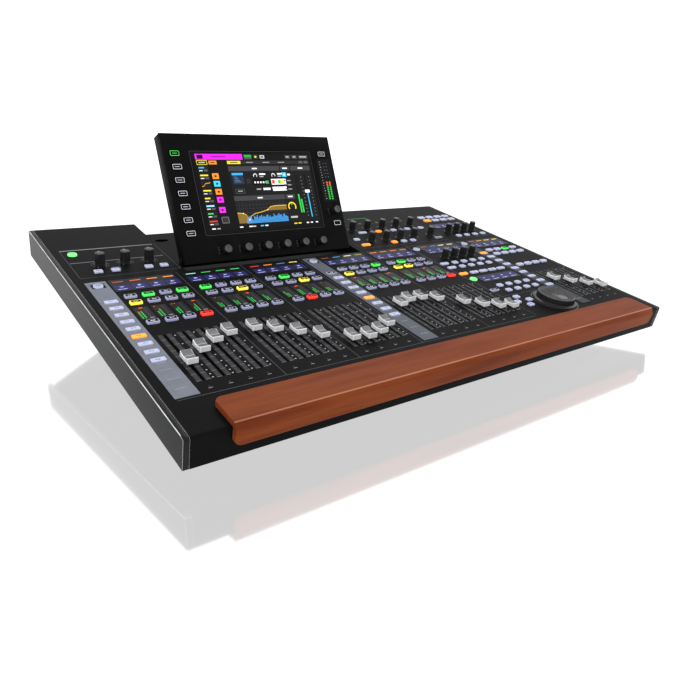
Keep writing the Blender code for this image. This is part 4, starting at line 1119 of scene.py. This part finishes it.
def make_screen_picture():
    """A generic picture of a channel page, drawn as thin lit shapes on the glass."""
    piece = Piece("screen_picture", "screen_glass", "display", grid=SCREEN)
    low, high = 51.0, 262.0
    floor, ceiling = 49.0, 171.0
    rng = random.Random(3)
    span, rise = high - low, ceiling - floor
    lift_step = 0.03

    def area(x0, x1, y0, y1, code, lift=1, radius=0.0):
        box = (low + span * x0, low + span * x1, floor + rise * y0, floor + rise * y1)
        patch(piece, box, PICTURE_LEVEL + lift_step * lift, LIGHT, code, radius)

    def outline(x0, x1, y0, y1, code, lift=2, width=0.7):
        box = (low + span * x0, low + span * x1, floor + rise * y0, floor + rise * y1)
        frame_line(piece, box, PICTURE_LEVEL + lift_step * lift, width, LIGHT, code, 0.8)

    def line(points, code, width, lift):
        for (x0, y0), (x1, y1) in zip(points, points[1:]):
            z = PICTURE_LEVEL + lift_step * lift
            ends = ((x0, y0 - width), (x1, y1 - width), (x1, y1 + width), (x0, y0 + width))
            piece.add([(x, y, z) for x, y in ends], [(0, 1, 2, 3)], LIGHT, code)

    area(0, 1, 0, 1, "0b0b0c", 0)
    area(0, 0.39, 0.925, 1, "e01fe0")
    area(0.012, 0.062, 0.935, 0.99, "18081a", 2)
    area(0.13, 0.25, 0.955, 0.972, "7a1080", 2)
    area(0.405, 0.47, 0.955, 0.99, "1f9c3c")
    area(0.405, 0.47, 0.93, 0.948, "4a4a4c")
    area(0.487, 0.527, 0.935, 0.99, "2b2b2c")
    area(0.497, 0.515, 0.952, 0.975, "e8d02c", 2, 1.5)
    area(0.545, 0.585, 0.94, 0.985, "b8b8ba")
    area(0.553, 0.577, 0.952, 0.972, "202022", 2)
    for start, end in ((0.775, 0.825), (0.84, 0.89), (0.905, 0.995)):
        area(start, end, 0.935, 0.99, "38383a")
        area(start + 0.012, end - 0.012, 0.957, 0.97, "b4b4b6", 2)
    area(0.005, 0.085, 0.862, 0.912, "202021")
    outline(0.003, 0.087, 0.858, 0.916, "e8d83a", 3)
    area(0.02, 0.07, 0.88, 0.895, "a8a8aa", 2)
    area(0.1, 0.165, 0.862, 0.912, "d87f1e")
    area(0.11, 0.15, 0.88, 0.892, "5a3408", 2)
    area(0.25, 0.995, 0.862, 0.912, "242425")
    area(0.252, 0.365, 0.866, 0.908, "d9c42e", 2)
    area(0.275, 0.34, 0.88, 0.893, "4d450e", 3)
    for start in (0.415, 0.56, 0.7):
        area(start, start + 0.06, 0.881, 0.892, "8a8a8c", 2)
    for start in (0.9, 0.95):
        area(start, start + 0.035, 0.87, 0.904, "4e4e50", 2)

    glimpses = ("3aa0c8", "e4d030", None, "e4d030", "e4d030", "9fd6e6", "3fbf58", "c8382c")
    for index, code in enumerate(glimpses):
        top = 0.845 - index * 0.1
        area(0.005, 0.085, top - 0.088, top, "19191a")
        if code:
            area(0.012, 0.055 + 0.02 * (index % 2), top - 0.034, top - 0.016, code, 2)
            area(0.012, 0.04, top - 0.07, top - 0.058, "cfcfd2", 2)
            area(0.05, 0.078, top - 0.074, top - 0.05, "4a4a4c", 2)
    swoop = ((0.01, 0.575), (0.025, 0.582), (0.04, 0.612), (0.08, 0.622))
    line([(low + span * x, floor + rise * y) for x, y in swoop], "e89a28", 0.5, 3)
    tiles = ((0.745, "e8842a"), (0.645, "35bfdc"), (0.54, "e8842a"), (0.435, "e02ad8"))
    for y, code in (*tiles, (0.3, "e02ad8")):
        area(0.108, 0.16, y - 0.075, y, code)
        area(0.125, 0.143, y - 0.05, y - 0.025, "301018", 2)
    area(0.115, 0.17, 0.09, 0.165, "2c2c2d")
    outline(0.113, 0.172, 0.086, 0.169, "77777a")

    area(0.25, 0.995, 0.05, 0.85, "151516")
    headers = ((0.25, 0.7, 0.77), (0.71, 0.795, 0.77), (0.805, 0.995, 0.77))
    for start, end, y in (*headers, (0.25, 0.7, 0.37), (0.71, 0.795, 0.37)):
        area(start, end, y, y + 0.065, "38383a", 2)
        middle = (start + end) / 2
        area(middle - 0.022, middle + 0.022, y + 0.024, y + 0.041, "e8e8ea", 3)
    area(0.27, 0.365, 0.715, 0.745, "3a9ce0", 2)
    area(0.27, 0.365, 0.595, 0.71, "1e2c40", 2)
    for step in range(4):
        area(0.285, 0.34 - 0.01 * step, 0.62 + step * 0.022, 0.628 + step * 0.022, "4f6f96", 3)
    area(0.385, 0.42, 0.6, 0.665, "262627", 2)
    outline(0.275, 0.355, 0.47, 0.53, "4a4a4c")
    area(0.295, 0.335, 0.493, 0.507, "8c8c8e", 2)
    for start in (0.448, 0.612):
        x, y = low + span * (start + 0.022), floor + rise * 0.705
        dial(piece, x, y, 3.6, "e6e6e8")
        area(start + 0.06, start + 0.115, 0.715, 0.735, "e6e6e8", 2)
        area(start + 0.06, start + 0.095, 0.685, 0.7, "9a9a9c", 2)
    area(0.44, 0.59, 0.575, 0.655, "050505", 2)
    for step in range(5):
        area(0.452 + step * 0.025, 0.465 + step * 0.025, 0.6, 0.625, "e8e8ea", 3)
    area(0.555, 0.58, 0.59, 0.635, "2f9c46", 4)
    area(0.605, 0.74, 0.575, 0.655, "e4e4e6", 2)
    for start, code in ((0.61, "d8342a"), (0.64, "f0f0f0"), (0.665, "3fb14e"), (0.69, "e6d03a")):
        area(start, start + 0.026, 0.59, 0.64, code, 3)
    area(0.46, 0.5, 0.51, 0.53, "8a8a8c", 2)
    area(0.52, 0.585, 0.505, 0.535, "e0e0e2", 2)
    area(0.605, 0.735, 0.49, 0.545, "f0f0f2", 2)
    area(0.715, 0.755, 0.68, 0.745, "28b4dc", 3)
    area(0.728, 0.742, 0.7, 0.725, "e8f8ff", 4)
    area(0.765, 0.79, 0.7, 0.725, "e6e6e8", 3)
    for y in (0.62, 0.56, 0.5):
        area(0.72, 0.735, y, y + 0.02, "5a5a5c", 3)
        area(0.75, 0.785, y, y + 0.015, "8a8a8c", 3)
    dial(piece, low + span * 0.752, floor + rise * 0.26, 8.0, "e0c82c")
    area(0.72, 0.785, 0.1, 0.125, "a8a8aa", 2)
    for start, top in ((0.828, 0.43), (0.848, 0.36)):
        area(start, start + 0.013, 0.17, 0.7, "0a0f0b", 2)
        area(start, start + 0.013, 0.17, top, "2fbf4a", 3)
    area(0.922, 0.932, 0.1, 0.72, "060606", 2)
    area(0.923, 0.931, 0.1, 0.45, "3ab8e0", 3)
    area(0.905, 0.95, 0.45, 0.49, "f2f2f4", 4)
    for step in range(12):
        area(0.885, 0.893, 0.12 + step * 0.05, 0.127 + step * 0.05, "8a8a8c", 3)
        area(0.965, 0.972, 0.12 + step * 0.05, 0.127 + step * 0.05, "8a8a8c", 3)

    area(0.25, 0.7, 0.06, 0.36, "19191b", 2)
    for index in range(1, 15):
        x = 0.25 + 0.03 * index
        area(x, x + 0.0016, 0.06, 0.36, "38383a", 3)
    for index in range(1, 6):
        y = 0.06 + 0.05 * index
        area(0.25, 0.7, y, y + 0.0025, "38383a", 3)
    bars = 40
    for index in range(bars):
        x = 0.32 + 0.375 * index / bars
        tall = 0.04 + 0.035 * abs(math.sin(index * 0.55)) + rng.random() * 0.045
        area(x, x + 0.0062, 0.062, 0.062 + tall, "3f93d4", 5)
    marks = ((0.252, 0.21), (0.3, 0.2), (0.325, 0.18), (0.345, 0.11), (0.365, 0.16), (0.4, 0.19))
    marks += ((0.47, 0.21), (0.52, 0.235), (0.55, 0.275), (0.6, 0.285), (0.698, 0.285))
    curve = [(low + span * x, floor + rise * y) for x, y in marks]
    for (x0, y0), (x1, y1) in zip(curve, curve[1:]):
        base = floor + rise * (0.07 if x1 < low + span * 0.37 else 0.225)
        z = PICTURE_LEVEL + lift_step * 4
        ends = ((x0, min(base, y0)), (x1, min(base, y1)), (x1, y1), (x0, y0))
        piece.add([(x, y, z) for x, y in ends], [(0, 1, 2, 3)], LIGHT, "7a5f28")
    line(curve, "e8c43a", 0.42, 6)
    for place in (1, 3, 7):
        turned_dot(piece, curve[place], 0.9, PICTURE_LEVEL + 0.21, "f0f0f2")

    area(0, 1, 0, 0.045, "0b0b0c", 1)
    notes = ((0.02, "e4e4e6"), (0.06, "9a9a9c"), (0.25, "e4e4e6"), (0.33, "e4e4e6"))
    notes += ((0.36, "b8b8ba"), (0.43, "35bfdc"), (0.47, "e4e4e6"))
    for x, code in (*notes, (0.74, "e0d02c"), (0.78, "e0d02c")):
        area(x, x + 0.028, 0.014, 0.03, code, 2)
    for x in (0.86, 0.9, 0.95):
        area(x, x + 0.022, 0.014, 0.03, "e4e4e6", 2)
    piece.finish()


def dial(piece, x, y, radius, tint):
    """Open arc with a pointer."""
    z = PICTURE_LEVEL + 0.12
    points, faces = [], []
    steps = 20
    for step in range(steps + 1):
        angle = math.radians(215 - 250 * step / steps)
        for reach in (radius, radius * 0.74):
            points.append((x + reach * math.cos(angle), y + reach * math.sin(angle), z))
    for step in range(steps):
        first = step * 2
        faces.append((first, first + 2, first + 3, first + 1))
    piece.add(points, faces, LIGHT, tint)
    patch(piece, (x - 0.4, x + 0.4, y + radius * 0.3, y + radius * 0.7), z, LIGHT, tint)


def turned_dot(piece, place, radius, z, tint):
    points = [(x, y, z) for x, y in circle(*place, radius, 16)]
    piece.add(points, [tuple(range(16))], LIGHT, tint)


def make_screen_print():
    """Fine outline around the picture."""
    piece = Piece("screen_print", "powder_coat", "display", grid=SCREEN)
    frame_line(piece, (42.5, 267.5, 41.5, 175.5), 0.05, 0.6, PRINT, "4a4a4e", 2.5)
    piece.finish()


# Back and underside.


def outer_face(name):
    """Rearmost face of a CAD node: x0, x1, z0, z1 and its y, in millimetres."""
    points = [vertex.co / MM for vertex in NODES[name].data.vertices]
    rear = max(point.y for point in points)
    face = [point for point in points if point.y > rear - 0.5]
    xs, zs = [point.x for point in face], [point.z for point in face]
    return (min(xs), max(xs), min(zs), max(zs)), rear


def make_rear_details():
    """Connector plate with its sockets, mains inlet with its pins, cooling slots and screws."""
    (x0, x1, z0, z1), board = outer_face("main_board")
    (in0, in1, in_low, in_high), inlet = outer_face("power_supply")
    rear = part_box("rear_panel")[1].y / MM
    facing = WORLD @ Matrix(((-1, 0, 0, 0), (0, 0, 1, 0), (0, 1, 0, 0), (0, 0, 0, 1)))
    piece = Piece("rear_sockets", "powder_coat", grid=facing)
    plate = (-x1, -x0, z0, z1)
    slab(piece, plate, board - 0.5, board + 0.4, POWDER, edge=0.2)
    start = board + 0.4

    def ring(place, profile, sides, material, smooth=True):
        turned(piece, place, profile, sides, material, smooth=smooth)

    def socket(x, z, kind):
        if kind == "round":
            ring((-x, z), [(12, start), (12, start + 1.2), (11, start + 1.5)], 32, ZINC)
            ring((-x, z), [(9.6, start + 1.5), (9.2, start + 1.6)], 32, BLACK_AND_SHADE)
            for dx, dz in ((-3.4, 1.6), (3.4, 1.6), (0, -3.6)):
                pin = [(1.2, start + 1.5), (1.2, start + 2.1), (0.7, start + 2.3)]
                ring((-x + dx, z + dz), pin, 12, ZINC)
        elif kind == "jack":
            ring((-x, z), [(6.5, start), (6.5, start + 1.6)], 6, ZINC, False)
            ring((-x, z), [(4.6, start + 1.6), (4.4, start + 2.0)], 24, ZINC)
            # Dark disc in the jack's hole: painted shade.
            ring((-x, z), [(3.1, start + 2.0), (3.0, start + 2.05)], 24, BLACK_AND_SHADE)
        else:
            slab(piece, around(-x, z, 8.5, 7.5), start, start + 1.4, ZINC, radius=0.6, edge=0.3)
            # Dark patch in the port's opening: painted shade.
            slab(piece, around(-x, z, 6.2, 5.0), start + 1.4, start + 1.5, BLACK_AND_SHADE)

    step = (x1 - x0) / 11.4
    upper, lower = z0 + (z1 - z0) * 0.74, z0 + (z1 - z0) * 0.27
    for column in range(11):
        x = x0 + step * (column + 0.7)
        socket(x, upper, "round" if column < 8 else "port")
        socket(x, lower, "round" if column < 6 else ("jack" if column < 9 else "port"))
    shell = (-in1, -in0, in_low, in_high)
    slab(piece, shell, inlet - 0.5, inlet + 0.4, BLACK_AND_SHADE, radius=0.6, edge=0.2)
    middle, height = -(in0 + in1) / 2, (in_low + in_high) / 2
    for dx, dz in ((-4.5, -2.0), (0.0, 2.6), (4.5, -2.0)):
        pin = (middle + dx - 0.9, middle + dx + 0.9, height + dz - 2.2, height + dz + 2.2)
        slab(piece, pin, inlet + 0.4, inlet + 1.6, ZINC, radius=0.2, edge=0.2)
    # Cooling slots as flat black slabs: painted shade where the openings are.
    for x in range(262, 346, 9):
        box = (-x - 2.0, -x + 2.0, 88, 110)
        slab(piece, box, rear - 0.1, rear + 0.25, BLACK_AND_SHADE, radius=1.8)
    for x in (-425, -330, -236, 236, 330, 425):
        for z in (22, 128):
            if z > 60 or abs(x) < 240:
                screw(piece, -x, z, rear + 0.05)
    piece.finish()


def screw(piece, x, y, z):
    """Domed screw head with a hexagonal socket, drawn as a flat black hexagon of painted shade."""
    head = [(3.2, z - 0.1), (3.2, z + 0.5), (2.6, z + 1.1), (1.9, z + 1.3)]
    turned(piece, (x, y), head, 24, ZINC)
    turned(piece, (x, y), [(1.5, z + 1.3), (1.5, z + 1.34)], 6, BLACK_AND_SHADE, smooth=False)


def make_screen_back():
    """Cooling slots and screws on the back of the screen."""
    to_screen = SCREEN.inverted()
    back = min((to_screen @ v.co).z for v in NODES["display_back"].data.vertices)
    width = (BEZEL_HIGH.x - BEZEL_LOW.x) / MM
    facing = SCREEN @ Matrix.Translation((width, 0, back)) @ Matrix.Rotation(math.pi, 4, "Y")
    piece = Piece("screen_back_details", "powder_coat", "display", grid=facing)
    for y in (96, 116, 136):
        # Cooling slots as flat black slabs: painted shade where the openings are.
        for x in range(60, 268, 13):
            slab(piece, (x, x + 5, y, y + 14), -0.1, 0.2, BLACK_AND_SHADE, radius=2.2)
    for x in (14, width - 14):
        for y in (20, 186):
            screw(piece, x, y, 0.1)
    piece.finish()


# Studio.


def make_floor():
    """White floor with a soft mirror image of the desk."""
    mesh = bpy.data.meshes.new("floor")
    reach = 30.0
    level = -0.0005
    corners = ((-reach, -reach), (reach, -reach), (reach, reach), (-reach, reach))
    mesh.from_pydata([(x, y, level) for x, y in corners], [], [(0, 1, 2, 3)])
    floor = bpy.data.objects.new("floor", mesh)
    bpy.context.scene.collection.objects.link(floor)
    material = surface(
        "pale_floor", (0.43, 0.43, 0.435), spread=0.004, cloud=2.0, rough=(0.07, 0.09), relief=0.0
    )
    shader = material.node_tree.nodes["Principled BSDF"]
    shader.inputs["Metallic"].default_value = 1.0
    shader.inputs["Emission Color"].default_value = (1, 1, 1, 1)
    shader.inputs["Emission Strength"].default_value = 0.62
    mesh.materials.append(material)


def make_light(name, place, aim, size, power):
    data = bpy.data.lights.new(name, "AREA")
    data.shape = "RECTANGLE"
    data.size, data.size_y = size
    data.energy = power
    light = bpy.data.objects.new(name, data)
    bpy.context.scene.collection.objects.link(light)
    light.location = place
    light.rotation_euler = (Vector(aim) - Vector(place)).to_track_quat("-Z", "Y").to_euler()


def make_world():
    """White studio, dimmer overhead so that the black panel stays dark."""
    world = bpy.data.worlds.new("studio")
    bpy.context.scene.world = world
    world.use_nodes = True
    tree = world.node_tree
    background = tree.nodes["Background"]
    coordinates = node(tree, "ShaderNodeTexCoord")
    split = node(tree, "ShaderNodeSeparateXYZ")
    tree.links.new(coordinates.outputs["Generated"], split.inputs["Vector"])
    strength = map_range(tree, split.outputs["Z"], 1.05, 0.25, 0.78, 0.95)
    background.inputs["Color"].default_value = (1, 1, 1, 1)
    tree.links.new(strength, background.inputs["Strength"])


def make_camera():
    data = bpy.data.cameras.new("camera")
    data.lens = 32.165
    data.sensor_width = 36
    data.clip_start = 0.01
    data.clip_end = 200
    camera = bpy.data.objects.new("camera", data)
    bpy.context.scene.collection.objects.link(camera)
    camera.location = (-0.62964, -0.76583, 0.35042)
    camera.rotation_euler = [math.radians(angle) for angle in (69.3651, -2.95723, -37.02979)]
    bpy.context.scene.camera = camera


make_camera()
make_world()
make_floor()
make_light("key_light", (-1.6, -1.2, 2.2), (0, 0, 0.1), (1.6, 1.6), 24)
make_light("back_light", (1.4, 1.4, 2.8), (0, 0.1, 0.1), (1.6, 1.0), 20)
make_light("right_light", (2.4, -0.6, 1.2), (0.1, 0, 0.1), (1.0, 1.4), 5)
bpy.context.scene.view_settings.view_transform = "Standard"

finish_cad_nodes()
make_armrest()
make_cheek_lines()
make_fader_scales()
make_panel_print()
make_strips()
make_character_displays()
make_meter_windows()
make_channel_keys()
make_control_keys()
make_panel_knobs()
make_jog_wheel()
make_faders()
make_screen_knobs()
make_screen_keys()
make_screen_meter()
make_screen_picture()
make_screen_print()
make_rear_details()
make_screen_back()

bpy.context.view_layer.update()
